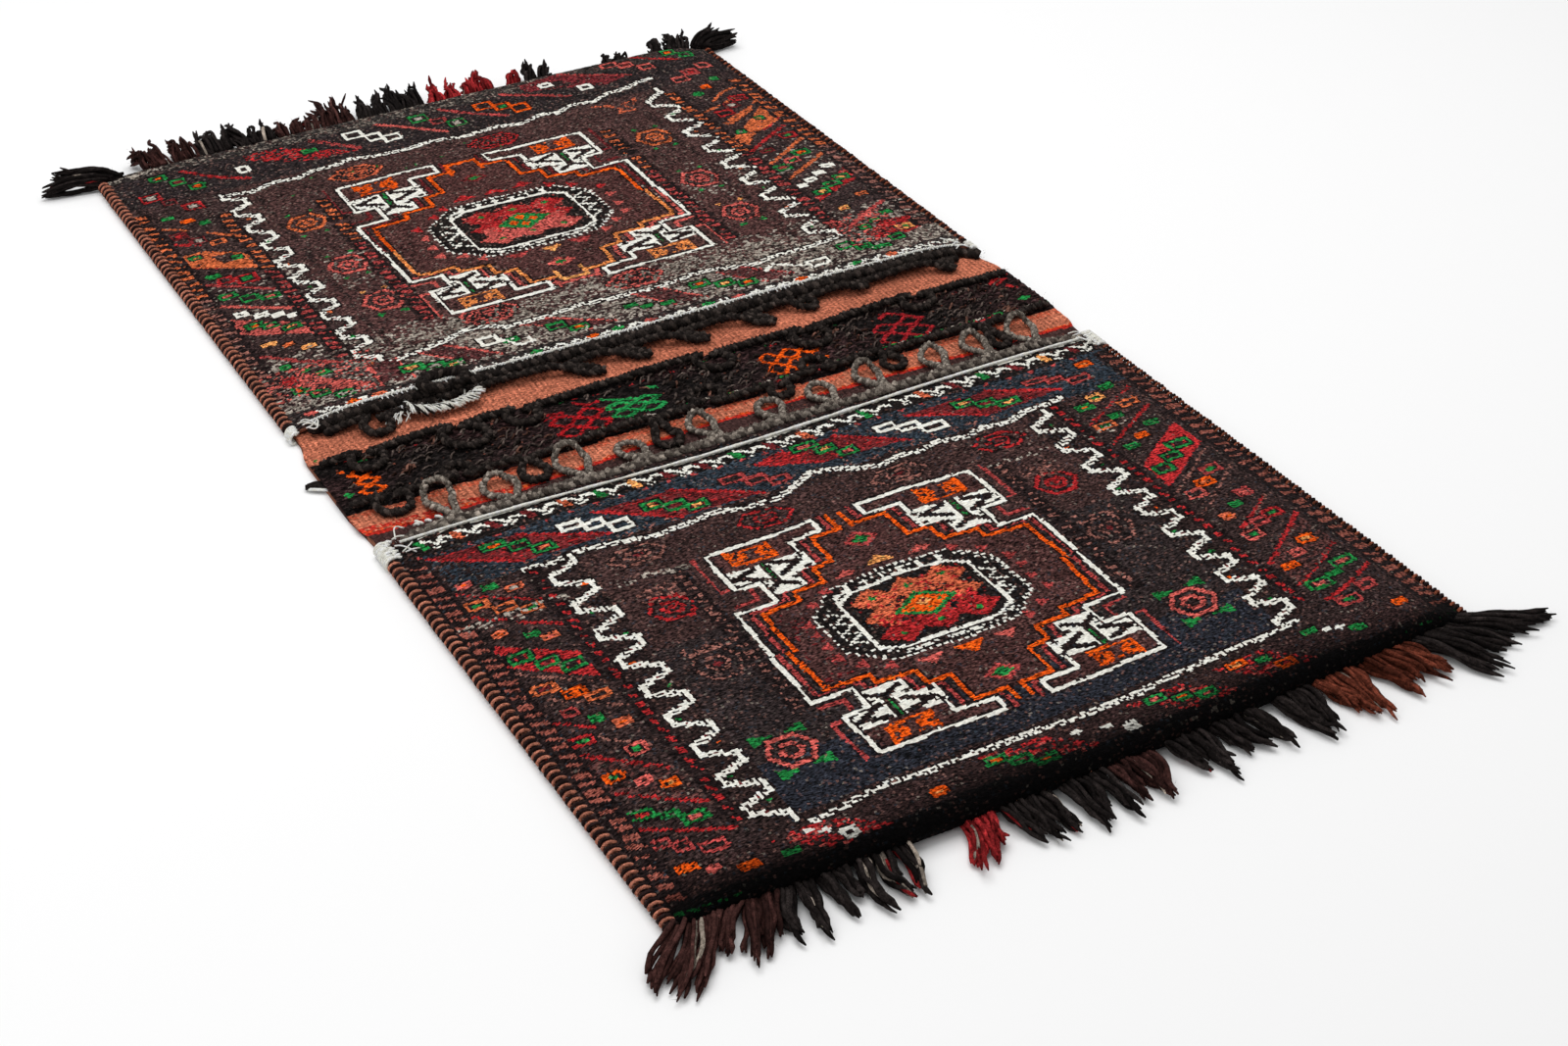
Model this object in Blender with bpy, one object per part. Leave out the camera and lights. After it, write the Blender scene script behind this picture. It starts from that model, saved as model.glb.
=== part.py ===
# Woven saddle bag: one long kilim with both ends folded up into flat pockets.
# Metres, +Z up. X runs across the bag and +Y towards the rear pocket. The origin is
# on the ground, half way between the two folds.

import math

import bmesh
import bpy

# Overall sizes of the bag
BAG_WIDTH = 0.600
BAG_LENGTH = 1.045
FRONT_POCKET_DEPTH = 0.412
REAR_POCKET_DEPTH = 0.459

# Thickness of the cloth, and how far it stands open
BACK_THICKNESS = 0.003
FACE_THICKNESS = 0.0045
BROCADE_RELIEF = 0.002
FRONT_FOLD_HEIGHT = 0.021
REAR_FOLD_HEIGHT = 0.0150
REAR_FOLD_TILT = 0.0035
MOUTH_HEIGHT = 0.015
FRONT_FOLD_BOW = 0.008
REAR_FOLD_BOW = 0.002
SEAM_GAP = 0.0006
SEAM_RUN = 0.060
RIPPLE_HEIGHT = 0.0009
RIPPLE_LENGTH = 0.230
RIPPLE_WAVES = ((1.0, 0.35, 0.0), (0.6, -0.8, 1.3))
CLEARANCE = 0.0003

# The strip between the pockets: where its raised brocade starts and ends
BRIDGE_FRONT_EDGE = -0.052
BRIDGE_REAR_EDGE = 0.020
BRIDGE_FADE = 0.004
SELVEDGE_RUN = 0.020

# Sewing along the sides, and the wound corners of the two mouths
WHIP_THICKNESS = 0.0050
WHIP_PITCH = 0.0076
WHIP_RIDGE = 0.0013
WHIP_BEVEL = 0.00225
TACK_THICKNESS = 0.0022
TACK_REACH = 0.017
FRONT_TACK_LENGTH = 0.023
REAR_TACK_LENGTH = 0.015
TACK_STRANDS = 4
TACK_GROOVE = 0.00088

# Cords sewn along the mouths and the bridge
MOUTH_CORD_RADIUS = 0.0040
BRIDGE_CORD_RADIUS = 0.0034
STRIPED_CORD_RADIUS = 0.0036
BRIDGE_FRONT_CORD_Y = -0.0485
BRIDGE_REAR_CORD_Y = 0.0130
BRIDGE_CORD_INSET = 0.006
MOUTH_CORD_INSET = 0.025
LEG_GAP = 0.0008
LOOP_CLIMB = 0.0096
RING_LOOP_X = -0.178
RING_LOOP_RADIUS = 0.0165
RING_LOOP_ABOVE_MOUTH = 0.0058
RING_LOOP_START = -72
RING_LOOP_SWEEP = 324
RING_LOOP_STEPS = 14
STRIPED_LOOP_WIDTH = 0.070
STRIPED_LOOP_SAG = 0.018
STRIPED_LOOP_STEPS = 9

# Fringe
TASSEL_ROOT_HEIGHT = 0.0100
TASSEL_TIP_HEIGHT = 0.0030
TASSEL_RAGGED = 0.010
TASSEL_EDGE_SHARE = 0.7
TASSEL_SECTIONS = (0.0, 0.35, 0.75, 1.0)
TASSEL_COLUMNS = 4
TUFT_LENGTH = 0.015
TUFT_ROOT = (-0.016, -0.002)
TUFT_TIP = (-0.002, 0.002)
TUFT_TIP_HEIGHT = 0.0018

# Width of the bag on which the places of loops and tassels were laid out
LAYOUT_WIDTH = 0.600

# How finely the cloth is divided
ACROSS_STEPS = 7
FACE_STEPS = 12
BACK_STEPS = 5
FOLD_STEPS = 6

CLOTH_HALF = BAG_WIDTH / 2 - WHIP_THICKNESS - CLEARANCE
SELVEDGE_HALF = BAG_WIDTH / 2 - CLEARANCE
SEAM_HEIGHT = BACK_THICKNESS + SEAM_GAP + FACE_THICKNESS
SELVEDGE_FRONT = FRONT_POCKET_DEPTH - BAG_LENGTH / 2 + FRONT_TACK_LENGTH
SELVEDGE_REAR = BAG_LENGTH / 2 - REAR_POCKET_DEPTH - REAR_TACK_LENGTH

DARK_BROWN = (0.045, 0.024, 0.022)
BLACK = (0.013, 0.011, 0.012)
RED = (0.230, 0.018, 0.022)
RUST = (0.120, 0.032, 0.020)
GREY = (0.170, 0.150, 0.135)
IVORY = (0.640, 0.590, 0.500)
SALMON = (0.420, 0.150, 0.090)


def clear_scene():
    for item in list(bpy.data.objects):
        bpy.data.objects.remove(item, do_unlink=True)


def wool(name, colour, roughness=0.92):
    material = bpy.data.materials.new(name)
    material.use_nodes = True
    shader = material.node_tree.nodes["Principled BSDF"]
    shader.inputs["Base Color"].default_value = (*colour, 1.0)
    shader.inputs["Roughness"].default_value = roughness
    shader.inputs["Metallic"].default_value = 0.0
    material.diffuse_color = (*colour, 1.0)
    return material


def smooth(value):
    """Ease from 0 to 1 while value runs from 0 to 1."""
    value = min(max(value, 0.0), 1.0)
    return value * value * (3.0 - 2.0 * value)


def add_mesh(name, vertices, faces, material, sharp_angle=50.0):
    mesh = bpy.data.meshes.new(name)
    mesh.from_pydata(vertices, [], faces)
    shape = bmesh.new()
    shape.from_mesh(mesh)
    bmesh.ops.recalc_face_normals(shape, faces=shape.faces)
    if shape.calc_volume(signed=True) < 0.0:
        bmesh.ops.reverse_faces(shape, faces=shape.faces)
    shape.to_mesh(mesh)
    shape.free()
    mesh.shade_smooth()
    mesh.set_sharp_from_angle(angle=math.radians(sharp_angle))
    mesh.materials.append(material)
    item = bpy.data.objects.new(name, mesh)
    bpy.context.scene.collection.objects.link(item)
    return item


def add_loft(name, rings, material, sharp_angle=50.0):
    """Close a row of equal rings into one body.

    The first half of a ring is its one side and the second half, in turn, the other, so
    each end is closed by a strip of faces from side to side.
    """
    count = len(rings[0])
    vertices = [point for ring in rings for point in ring]
    faces = []
    for first in (0, len(vertices) - count):
        for k in range(count // 2 - 1):
            cap = (k, k + 1, count - 2 - k, count - 1 - k)
            faces.append(tuple(first + corner for corner in cap))
    for row in range(len(rings) - 1):
        for k in range(count):
            a = row * count + k
            b = row * count + (k + 1) % count
            faces.append((a, b, b + count, a + count))
    return add_mesh(name, vertices, faces, material, sharp_angle)


def half_width(y):
    """The cloth is drawn in where its sides are sewn, and free across the bridge."""
    out = smooth((y - SELVEDGE_FRONT) / SELVEDGE_RUN)
    back_in = smooth((SELVEDGE_REAR - y) / SELVEDGE_RUN)
    return CLOTH_HALF + (SELVEDGE_HALF - CLOTH_HALF) * min(out, back_in)


def back_top(y):
    """Upper surface of the back cloth, raised where the bridge carries brocade."""
    rise = smooth((y - BRIDGE_FRONT_EDGE) / BRIDGE_FADE)
    fall = smooth((BRIDGE_REAR_EDGE - y) / BRIDGE_FADE)
    return BACK_THICKNESS + BROCADE_RELIEF * min(rise, fall)


class Pocket:
    """One end of the cloth, folded up over the back. side is -1 in front, +1 behind."""

    def __init__(self, side, depth, fold_height, tilt, bow):
        self.side = side
        self.depth = depth
        self.fold_height = fold_height
        self.tilt = tilt
        self.bow = bow
        self.mouth = side * (BAG_LENGTH / 2 - depth)

    def fold_line(self, x):
        """Outermost line of the fold, which bows a little in the middle."""
        share = min(abs(x) / CLOTH_HALF, 1.0)
        return self.side * (BAG_LENGTH / 2 + self.bow * (1.0 - share ** 2))

    def top(self, x, y):
        """Upper surface of the face at a place on the ground plan."""
        along = abs(y - self.fold_line(x)) / self.depth
        fold = self.fold_height + self.tilt * x / CLOTH_HALF
        full = MOUTH_HEIGHT + (fold - MOUTH_HEIGHT) * (1.0 - smooth(along))
        wave = 0.0
        for along_x, along_y, start in RIPPLE_WAVES:
            wave += math.sin(math.tau * (along_x * x + along_y * y) / RIPPLE_LENGTH + start)
        full += RIPPLE_HEIGHT * wave * math.sin(math.pi * min(along, 1.0))
        puff = math.sin(math.pi / 2 * min(1.0, max(0.0, (CLOTH_HALF - abs(x)) / SEAM_RUN)))
        return SEAM_HEIGHT + (full - SEAM_HEIGHT) * puff

    def fold_radius(self, x):
        return self.top(x, self.fold_line(x)) / 2

    def fold_centre(self, x):
        return self.fold_line(x) - self.side * self.fold_radius(x)

    def face(self, x):
        """Outer and inner points from the fold's top to the mouth."""
        start = self.fold_centre(x)
        for k in range(1, FACE_STEPS + 1):
            y = start + (self.mouth - start) * k / FACE_STEPS
            z = self.top(x, y)
            yield (y, z), (y, z - FACE_THICKNESS)

    def fold(self, x):
        """Outer and inner points round the fold, from its foot to its top."""
        radius = self.fold_radius(x)
        centre = self.fold_centre(x)
        inner = radius - (BACK_THICKNESS + FACE_THICKNESS) / 2
        for k in range(FOLD_STEPS + 1):
            turn = math.pi * k / FOLD_STEPS
            reach = self.side * math.sin(turn)
            outer_point = (centre + radius * reach, radius - radius * math.cos(turn))
            inner_z = BACK_THICKNESS + inner - inner * math.cos(turn)
            yield outer_point, (centre + inner * reach, inner_z)


FRONT = Pocket(-1, FRONT_POCKET_DEPTH, FRONT_FOLD_HEIGHT, 0.0, FRONT_FOLD_BOW)
REAR = Pocket(1, REAR_POCKET_DEPTH, REAR_FOLD_HEIGHT, REAR_FOLD_TILT, REAR_FOLD_BOW)


def spread(x):
    """Place across the bag of what was laid out on its plan, when its width changes."""
    return x * (BAG_WIDTH / LAYOUT_WIDTH)


def share_across(step):
    """Station across the cloth as a share of its half width, closer together at the seams."""
    return math.sin(math.pi / 2 * step / ACROSS_STEPS)


def back_stations(x):
    """Places along the back between the folds, with the edges of selvedge and brocade."""
    edges = [SELVEDGE_FRONT, SELVEDGE_FRONT + SELVEDGE_RUN]
    edges += [BRIDGE_FRONT_EDGE, BRIDGE_FRONT_EDGE + BRIDGE_FADE]
    edges += [BRIDGE_REAR_EDGE - BRIDGE_FADE, BRIDGE_REAR_EDGE]
    edges += [SELVEDGE_REAR - SELVEDGE_RUN, SELVEDGE_REAR]
    edges.sort()
    start = FRONT.fold_centre(x)
    end = REAR.fold_centre(x)
    places = [start + (edges[0] - start) * k / BACK_STEPS for k in range(1, BACK_STEPS)]
    places += edges
    places += [edges[-1] + (end - edges[-1]) * k / BACK_STEPS for k in range(1, BACK_STEPS)]
    return places


def cloth_section(share):
    """Outer and inner outline of the folded cloth at one station across the width."""
    x = share * CLOTH_HALF
    pairs = list(reversed(list(FRONT.face(x))))
    pairs += list(reversed(list(FRONT.fold(x))))
    pairs += [((y, 0.0), (y, back_top(y))) for y in back_stations(x)]
    pairs += list(REAR.fold(x))
    pairs += list(REAR.face(x))
    return [[(share * half_width(y), y, z) for y, z in pair] for pair in pairs]


def make_cloth():
    """The whole kilim: front face, fold, back and bridge, fold, rear face, in one piece."""
    shares = [share_across(step) for step in range(-ACROSS_STEPS, ACROSS_STEPS + 1)]
    sections = [cloth_section(share) for share in shares]
    rows = len(sections[0])
    vertices = [point for section in sections for pair in section for point in pair]

    def index(column, row, layer):
        return (column * rows + row) * 2 + layer

    faces = []
    last = len(shares) - 1
    for column in range(last):
        for row in range(rows - 1):
            for layer in (0, 1):
                ring = [index(column, row, layer), index(column, row + 1, layer)]
                ring += [index(column + 1, row + 1, layer), index(column + 1, row, layer)]
                faces.append(ring)
        for row in (0, rows - 1):
            ring = [index(column, row, 0), index(column + 1, row, 0)]
            ring += [index(column + 1, row, 1), index(column, row, 1)]
            faces.append(ring)
    for column in (0, last):
        for row in range(rows - 1):
            ring = [index(column, row, 0), index(column, row + 1, 0)]
            ring += [index(column, row + 1, 1), index(column, row, 1)]
            faces.append(ring)
    cloth = add_mesh("woven_cloth", vertices, faces, wool("kilim wool", DARK_BROWN))
    flatten_underside(cloth.data)
    return cloth


def flatten_underside(mesh):
    """Join the flat quads on the ground into one face."""
    shape = bmesh.new()
    shape.from_mesh(mesh)
    low = [face for face in shape.faces if max(v.co.z for v in face.verts) < CLEARANCE / 10]
    inner = {edge for face in low for edge in face.edges if all(f in low for f in edge.link_faces)}
    bmesh.ops.dissolve_edges(shape, edges=list(inner), use_verts=False)
    loose = [v for v in shape.verts if not v.link_faces]
    bmesh.ops.delete(shape, geom=loose, context="VERTS")
    shape.to_mesh(mesh)
    shape.free()


def make_whipping(name, pocket, edge):
    """Yarn wound over the two cloth edges of one pocket side, a ridge for each pair of turns."""
    tack = FRONT_TACK_LENGTH if pocket is FRONT else REAR_TACK_LENGTH
    start = pocket.fold_line(CLOTH_HALF) - pocket.side * SEAM_HEIGHT / 4
    end = pocket.mouth + pocket.side * (tack / 2 + CLEARANCE)
    ridges = round(abs(end - start) / WHIP_PITCH)
    inside = CLOTH_HALF + CLEARANCE
    high = SEAM_HEIGHT + WHIP_RIDGE / 2
    rings = []
    for k in range(2 * ridges + 1):
        y = start + (end - start) * k / (2 * ridges)
        outside = BAG_WIDTH / 2 - WHIP_RIDGE * (1 - k % 2)
        corners = [(inside, CLEARANCE), (outside, CLEARANCE + WHIP_BEVEL)]
        corners += [(outside, high - WHIP_BEVEL), (inside, high)]
        rings.append([(edge * x, y, z) for x, z in corners])
    return add_loft(name, rings, wool(name, SALMON), sharp_angle=30.0)


def make_tack(name, pocket, edge):
    """A few turns of ivory yarn over the corner of a mouth, from the face down the side."""
    length = FRONT_TACK_LENGTH if pocket is FRONT else REAR_TACK_LENGTH
    inboard = CLOTH_HALF - TACK_REACH
    middle = CLOTH_HALF * share_across(ACROSS_STEPS - 1)
    side_x = CLOTH_HALF + CLEARANCE
    places = [pocket.mouth + pocket.side * length * (0.5 - k / (2 * TACK_STRANDS))
              for k in range(2 * TACK_STRANDS + 1)]
    heights = {}
    for x in (inboard, middle, CLOTH_HALF):
        heights[x] = CLEARANCE * 2 + max(pocket.top(x, y) for y in places)
    rings = []
    for k, y in enumerate(places):
        thick = TACK_THICKNESS - TACK_GROOVE * (1 - k % 2)
        corners = [(inboard, heights[inboard]), (middle, heights[middle])]
        corners += [(side_x, heights[CLOTH_HALF]), (side_x, CLEARANCE)]
        corners += [(side_x + thick, CLEARANCE), (side_x + thick, heights[CLOTH_HALF])]
        corners += [(middle, heights[middle] + thick), (inboard, heights[inboard] + thick / 2)]
        rings.append([(edge * x, y, z) for x, z in corners])
    return add_loft(name, rings, wool(name, IVORY), sharp_angle=30.0)


def loop_points(centre, width, reach, lean, radius, turns):
    """Plan of one open loop in its cord: up one leg, round the head and down the other."""
    head = width / 2 - radius
    foot = radius + LEG_GAP
    points = [(centre - foot - radius, 0.0), (centre - foot, radius)]
    for turn in turns:
        angle = math.radians(turn)
        across = head * math.sin(angle)
        along = reach - radius - head + head * math.cos(angle)
        points.append((centre + across + lean * along / reach, along))
    points += [(centre + foot, radius), (centre + foot + radius, 0.0)]
    return points


def add_cord(name, points, radius, roundness, material):
    """A tube with closed ends through a list of points."""
    curve = bpy.data.curves.new(name, "CURVE")
    curve.dimensions = "3D"
    curve.bevel_depth = radius
    curve.bevel_resolution = roundness
    curve.use_fill_caps = True
    spline = curve.splines.new("POLY")
    spline.points.add(len(points) - 1)
    for place, point in zip(spline.points, points):
        place.co = (*point, 1.0)
    spline.use_smooth = True
    curve.materials.append(material)
    item = bpy.data.objects.new(name, curve)
    bpy.context.scene.collection.objects.link(item)
    return item


def cord_run(start, end, run_y, run_z, loops, radius, rest, turns):
    """Points of a cord along X with loops. A loop is (centre, width, reach, lean).

    run_z gives the height of the straight run at x, and rest the height at which the
    loop lies at y. A reach below zero lays the loop towards -Y.
    """
    points = [(start, run_y, run_z(start))]
    for centre, width, reach, lean in loops:
        side = math.copysign(1.0, reach)
        plan = loop_points(spread(centre), width, abs(reach), lean, radius, turns)
        for x, along in plan:
            y = run_y + side * along
            settle = smooth((along - radius) / (3 * radius))
            z = run_z(x) + (rest(y) - run_z(x)) * settle
            points.append((x, y, z))
    points.append((end, run_y, run_z(end)))
    return points


WIDE_TURNS = (-125, -90, -45, 0, 45, 90, 125)
PLAIN_TURNS = (-115, -55, 0, 55, 115)

# Loops of the grey cord: centre, outer width, reach over the bridge, lean
FRONT_MOUTH_LOOPS = (
    (-0.238, 0.021, 0.0600, 0.001),
    (-0.194, 0.026, 0.0520, 0.000),
    (-0.137, 0.025, 0.0570, 0.001),
    (-0.089, 0.023, 0.0330, 0.000),
    (-0.032, 0.023, 0.0390, 0.001),
    (0.020, 0.024, 0.0340, 0.006),
    (0.066, 0.024, 0.0420, 0.004),
    (0.110, 0.023, 0.0480, 0.003),
    (0.164, 0.024, 0.0420, 0.009),
    (0.206, 0.023, 0.0470, 0.004),
    (0.248, 0.027, 0.0490, 0.007),
)

# Flat black loops that hang from the rear mouth
REAR_MOUTH_LOOPS = (
    (-0.238, 0.028, -0.030, 0.000),
    (-0.088, 0.020, -0.030, 0.022),
    (-0.042, 0.019, -0.026, 0.020),
    (0.008, 0.019, -0.026, 0.020),
    (0.068, 0.020, -0.028, 0.018),
    (0.120, 0.024, -0.024, 0.008),
    (0.172, 0.020, -0.018, 0.008),
    (0.250, 0.018, -0.024, 0.010),
)

BRIDGE_FRONT_LOOPS = (
    (-0.267, 0.025, -0.022, 0.000),
    (-0.212, 0.022, 0.018, 0.000),
    (-0.164, 0.021, -0.029, 0.000),
    (-0.059, 0.020, -0.037, -0.002),
    (-0.012, 0.024, 0.024, 0.004),
    (0.043, 0.018, -0.017, 0.002),
    (0.084, 0.024, 0.020, 0.000),
    (0.140, 0.018, -0.026, 0.000),
    (0.230, 0.0155, -0.034, 0.000),
)

BRIDGE_REAR_LOOPS = (
    (-0.262, 0.024, -0.024, 0.000),
    (-0.190, 0.030, -0.032, 0.004),
    (-0.140, 0.024, -0.022, 0.000),
    (0.018, 0.026, -0.024, 0.006),
    (0.104, 0.028, -0.028, 0.000),
    (0.208, 0.026, -0.022, -0.004),
)


def make_front_mouth_braid():
    """Grey cord along the front mouth. Its long loops reach back over the bridge."""
    radius = MOUTH_CORD_RADIUS
    run_y = FRONT.mouth + CLEARANCE + radius
    over = BRIDGE_FRONT_CORD_Y - radius - BRIDGE_CORD_RADIUS

    def run_z(x):
        return FRONT.top(x, FRONT.mouth) - FACE_THICKNESS / 2

    def rest(y):
        climb = smooth((y - over + LOOP_CLIMB) / (2 * radius))
        lift = BROCADE_RELIEF + 2 * BRIDGE_CORD_RADIUS + 2 * CLEARANCE
        return BACK_THICKNESS + CLEARANCE + radius + lift * climb

    end = BAG_WIDTH / 2 - MOUTH_CORD_INSET
    points = cord_run(-end, end, run_y, run_z, FRONT_MOUTH_LOOPS, radius, rest, WIDE_TURNS)
    return add_cord("front_mouth_braid", points, radius, 1, wool("grey cord", GREY))


def make_rear_mouth_braid():
    """Black cord along the rear mouth, with loops that flop on to the bare bridge cloth."""
    radius = MOUTH_CORD_RADIUS
    run_y = REAR.mouth - CLEARANCE - radius

    def run_z(x):
        return REAR.top(x, REAR.mouth) - FACE_THICKNESS / 2

    def rest(y):
        return BACK_THICKNESS + CLEARANCE + radius

    end = BAG_WIDTH / 2 - MOUTH_CORD_INSET
    points = cord_run(-end, end, run_y, run_z, REAR_MOUTH_LOOPS, radius, rest, PLAIN_TURNS)
    return add_cord("rear_mouth_braid", points, radius, 0, wool("black mouth cord", BLACK))


def make_bridge_braid(name, run_y, loops):
    """Black cord sewn across the bridge, with short loops to both sides."""
    radius = BRIDGE_CORD_RADIUS

    def lying(y):
        return max(back_top(y), back_top(y + radius), back_top(y - radius)) + CLEARANCE + radius

    def run_z(x):
        return lying(run_y)

    end = BAG_WIDTH / 2 - BRIDGE_CORD_INSET
    points = cord_run(-end, end, run_y, run_z, loops, radius, lying, PLAIN_TURNS)
    return add_cord(name, points, radius, 0, wool(name, BLACK))


def make_striped_loop():
    """A flat loop of black and ivory cord under the rear mouth, at the left."""
    radius = STRIPED_CORD_RADIUS
    top = REAR.mouth - 2 * MOUTH_CORD_RADIUS - 2 * CLEARANCE - radius
    height = BACK_THICKNESS + CLEARANCE + radius
    points = []
    for k in range(STRIPED_LOOP_STEPS + 1):
        turn = math.pi * k / STRIPED_LOOP_STEPS
        x = spread(RING_LOOP_X) - STRIPED_LOOP_WIDTH / 2 * math.cos(turn)
        points.append((x, top - STRIPED_LOOP_SAG * math.sin(turn), height))
    return add_cord("striped_mouth_loop", points, radius, 1, wool("striped cord", IVORY))


def make_ring_loop():
    """Black loop turned back over the mouth cord and the edge of the rear face."""
    radius = MOUTH_CORD_RADIUS
    run_y = REAR.mouth - CLEARANCE - radius
    middle = REAR.mouth + RING_LOOP_ABOVE_MOUTH
    points = []
    for k in range(RING_LOOP_STEPS + 1):
        turn = math.radians(RING_LOOP_START + RING_LOOP_SWEEP * k / RING_LOOP_STEPS)
        y = middle + RING_LOOP_RADIUS * math.sin(turn)
        x = spread(RING_LOOP_X) + RING_LOOP_RADIUS * math.cos(turn)
        on_cord = REAR.top(x, REAR.mouth) - FACE_THICKNESS / 2 + 2 * radius
        on_face = REAR.top(x, max(y, REAR.mouth)) + radius
        share = smooth((y - run_y) / (4 * radius))
        points.append((x, y, on_cord + (on_face - on_cord) * share + 2 * CLEARANCE))
    return add_cord("ring_mouth_loop", points, radius, 0, wool("black ring cord", BLACK))


# Bunches of the fringe: root from, root to, tip from, tip to, reach of the left edge and
# of the right edge, colour
FRONT_TASSELS = (
    (-0.292, -0.274, -0.336, -0.298, 0.036, 0.036, DARK_BROWN),
    (-0.272, -0.250, -0.284, -0.262, 0.022, 0.022, DARK_BROWN),
    (-0.248, -0.232, -0.272, -0.246, 0.040, 0.040, DARK_BROWN),
    (-0.229, -0.208, -0.240, -0.214, 0.042, 0.042, BLACK),
    (-0.205, -0.184, -0.202, -0.186, 0.038, 0.038, BLACK),
    (-0.181, -0.142, -0.184, -0.146, 0.046, 0.046, BLACK),
    (-0.106, -0.084, -0.122, -0.088, 0.038, 0.038, RED),
    (-0.080, -0.046, -0.082, -0.042, 0.038, 0.038, BLACK),
    (-0.038, -0.006, -0.036, -0.002, 0.046, 0.046, BLACK),
    (-0.003, 0.032, 0.002, 0.032, 0.048, 0.048, DARK_BROWN),
    (0.040, 0.070, 0.044, 0.074, 0.044, 0.044, BLACK),
    (0.074, 0.098, 0.080, 0.106, 0.046, 0.046, BLACK),
    (0.101, 0.110, 0.112, 0.119, 0.040, 0.040, BLACK),
    (0.126, 0.156, 0.134, 0.156, 0.050, 0.050, BLACK),
    (0.160, 0.196, 0.160, 0.198, 0.048, 0.048, RUST),
    (0.200, 0.240, 0.212, 0.256, 0.044, 0.044, RUST),
    (0.244, 0.276, 0.268, 0.314, 0.050, 0.050, BLACK),
    (0.279, 0.292, 0.322, 0.356, 0.030, 0.030, BLACK),
)

REAR_TASSELS = (
    (-0.290, -0.276, -0.352, -0.326, 0.003, 0.017, BLACK),
    (-0.256, -0.232, -0.266, -0.238, 0.048, 0.048, DARK_BROWN),
    (-0.229, -0.208, -0.230, -0.208, 0.036, 0.036, DARK_BROWN),
    (-0.205, -0.172, -0.206, -0.172, 0.042, 0.042, BLACK),
    (-0.169, -0.138, -0.168, -0.134, 0.040, 0.040, BLACK),
    (-0.134, -0.096, -0.130, -0.094, 0.028, 0.028, DARK_BROWN),
    (-0.093, -0.062, -0.088, -0.056, 0.048, 0.048, DARK_BROWN),
    (-0.059, -0.028, -0.052, -0.026, 0.040, 0.040, BLACK),
    (-0.025, 0.008, -0.022, 0.010, 0.046, 0.046, BLACK),
    (0.011, 0.042, 0.014, 0.044, 0.034, 0.034, RED),
    (0.045, 0.077, 0.048, 0.078, 0.034, 0.034, RED),
    (0.086, 0.101, 0.096, 0.112, 0.036, 0.036, RED),
    (0.105, 0.130, 0.116, 0.142, 0.034, 0.034, BLACK),
    (0.186, 0.212, 0.190, 0.214, 0.014, 0.014, BLACK),
    (0.236, 0.250, 0.246, 0.256, 0.036, 0.036, BLACK),
    (0.256, 0.275, 0.262, 0.290, 0.032, 0.032, BLACK),
    (0.278, 0.290, 0.308, 0.334, 0.018, 0.004, BLACK),
)


def make_tassel(name, pocket, bunch):
    """A flattened bunch of yarn from the fold's foot to the ground, ragged at its tip."""
    root_from, root_to, tip_from, tip_to, reach_from, reach_to, colour = bunch
    notch = TASSEL_RAGGED if min(reach_from, reach_to) > 2 * TASSEL_RAGGED else 0.0
    last = TASSEL_COLUMNS - 1
    rings = []
    for share in TASSEL_SECTIONS:
        upper = []
        lower = []
        for k in range(TASSEL_COLUMNS):
            root_x = spread(root_from + (root_to - root_from) * k / last)
            tip_x = spread(tip_from + (tip_to - tip_from) * k / last)
            x = root_x + (tip_x - root_x) * share
            height = min(TASSEL_ROOT_HEIGHT, pocket.fold_radius(root_x)) - CLEARANCE
            height += (TASSEL_TIP_HEIGHT - height) * smooth(share)
            if k in (0, last):
                height *= TASSEL_EDGE_SHARE
            reach = reach_from + (reach_to - reach_from) * k / last - notch * (k % 2)
            y = pocket.fold_line(root_x) + pocket.side * (CLEARANCE + reach * share)
            upper.append((x, y, CLEARANCE + height))
            lower.insert(0, (x, y, CLEARANCE))
        rings.append(upper + lower)
    tassel = add_loft(name, rings, wool(name, colour))
    split_faces(tassel.data)


def split_faces(mesh):
    """Cut every face into triangles, because a tassel that sweeps sideways twists its quads."""
    shape = bmesh.new()
    shape.from_mesh(mesh)
    bmesh.ops.triangulate(shape, faces=shape.faces)
    shape.to_mesh(mesh)
    shape.free()


def make_fringe(prefix, pocket, bunches):
    for number, bunch in enumerate(bunches, start=1):
        make_tassel(f"{prefix}_{number:02d}", pocket, bunch)


def make_side_tuft():
    """A few yarn ends that stick out at the left of the bridge."""
    rings = []
    for share in (0.0, 1.0):
        x = -SELVEDGE_HALF - CLEARANCE - TUFT_LENGTH * share
        near, far = [root + (tip - root) * share for root, tip in zip(TUFT_ROOT, TUFT_TIP)]
        high = BACK_THICKNESS + (TUFT_TIP_HEIGHT - BACK_THICKNESS) * share
        rings.append([(x, near, CLEARANCE), (x, far, CLEARANCE), (x, far, high), (x, near, high)])
    return add_loft("side_tuft", rings, wool("side tuft", BLACK))


def main():
    clear_scene()
    make_cloth()
    for edge, label in ((-1, "left"), (1, "right")):
        make_whipping(f"front_{label}_whipping", FRONT, edge)
        make_whipping(f"rear_{label}_whipping", REAR, edge)
        make_tack(f"front_{label}_tack", FRONT, edge)
        make_tack(f"rear_{label}_tack", REAR, edge)
    make_front_mouth_braid()
    make_rear_mouth_braid()
    make_striped_loop()
    make_ring_loop()
    make_bridge_braid("bridge_front_braid", BRIDGE_FRONT_CORD_Y, BRIDGE_FRONT_LOOPS)
    make_bridge_braid("bridge_rear_braid", BRIDGE_REAR_CORD_Y, BRIDGE_REAR_LOOPS)
    make_fringe("front_tassel", FRONT, FRONT_TASSELS)
    make_fringe("rear_tassel", REAR, REAR_TASSELS)
    make_side_tuft()


main()
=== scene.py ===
import math

import bpy
import numpy as np
from mathutils import Matrix


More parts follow.
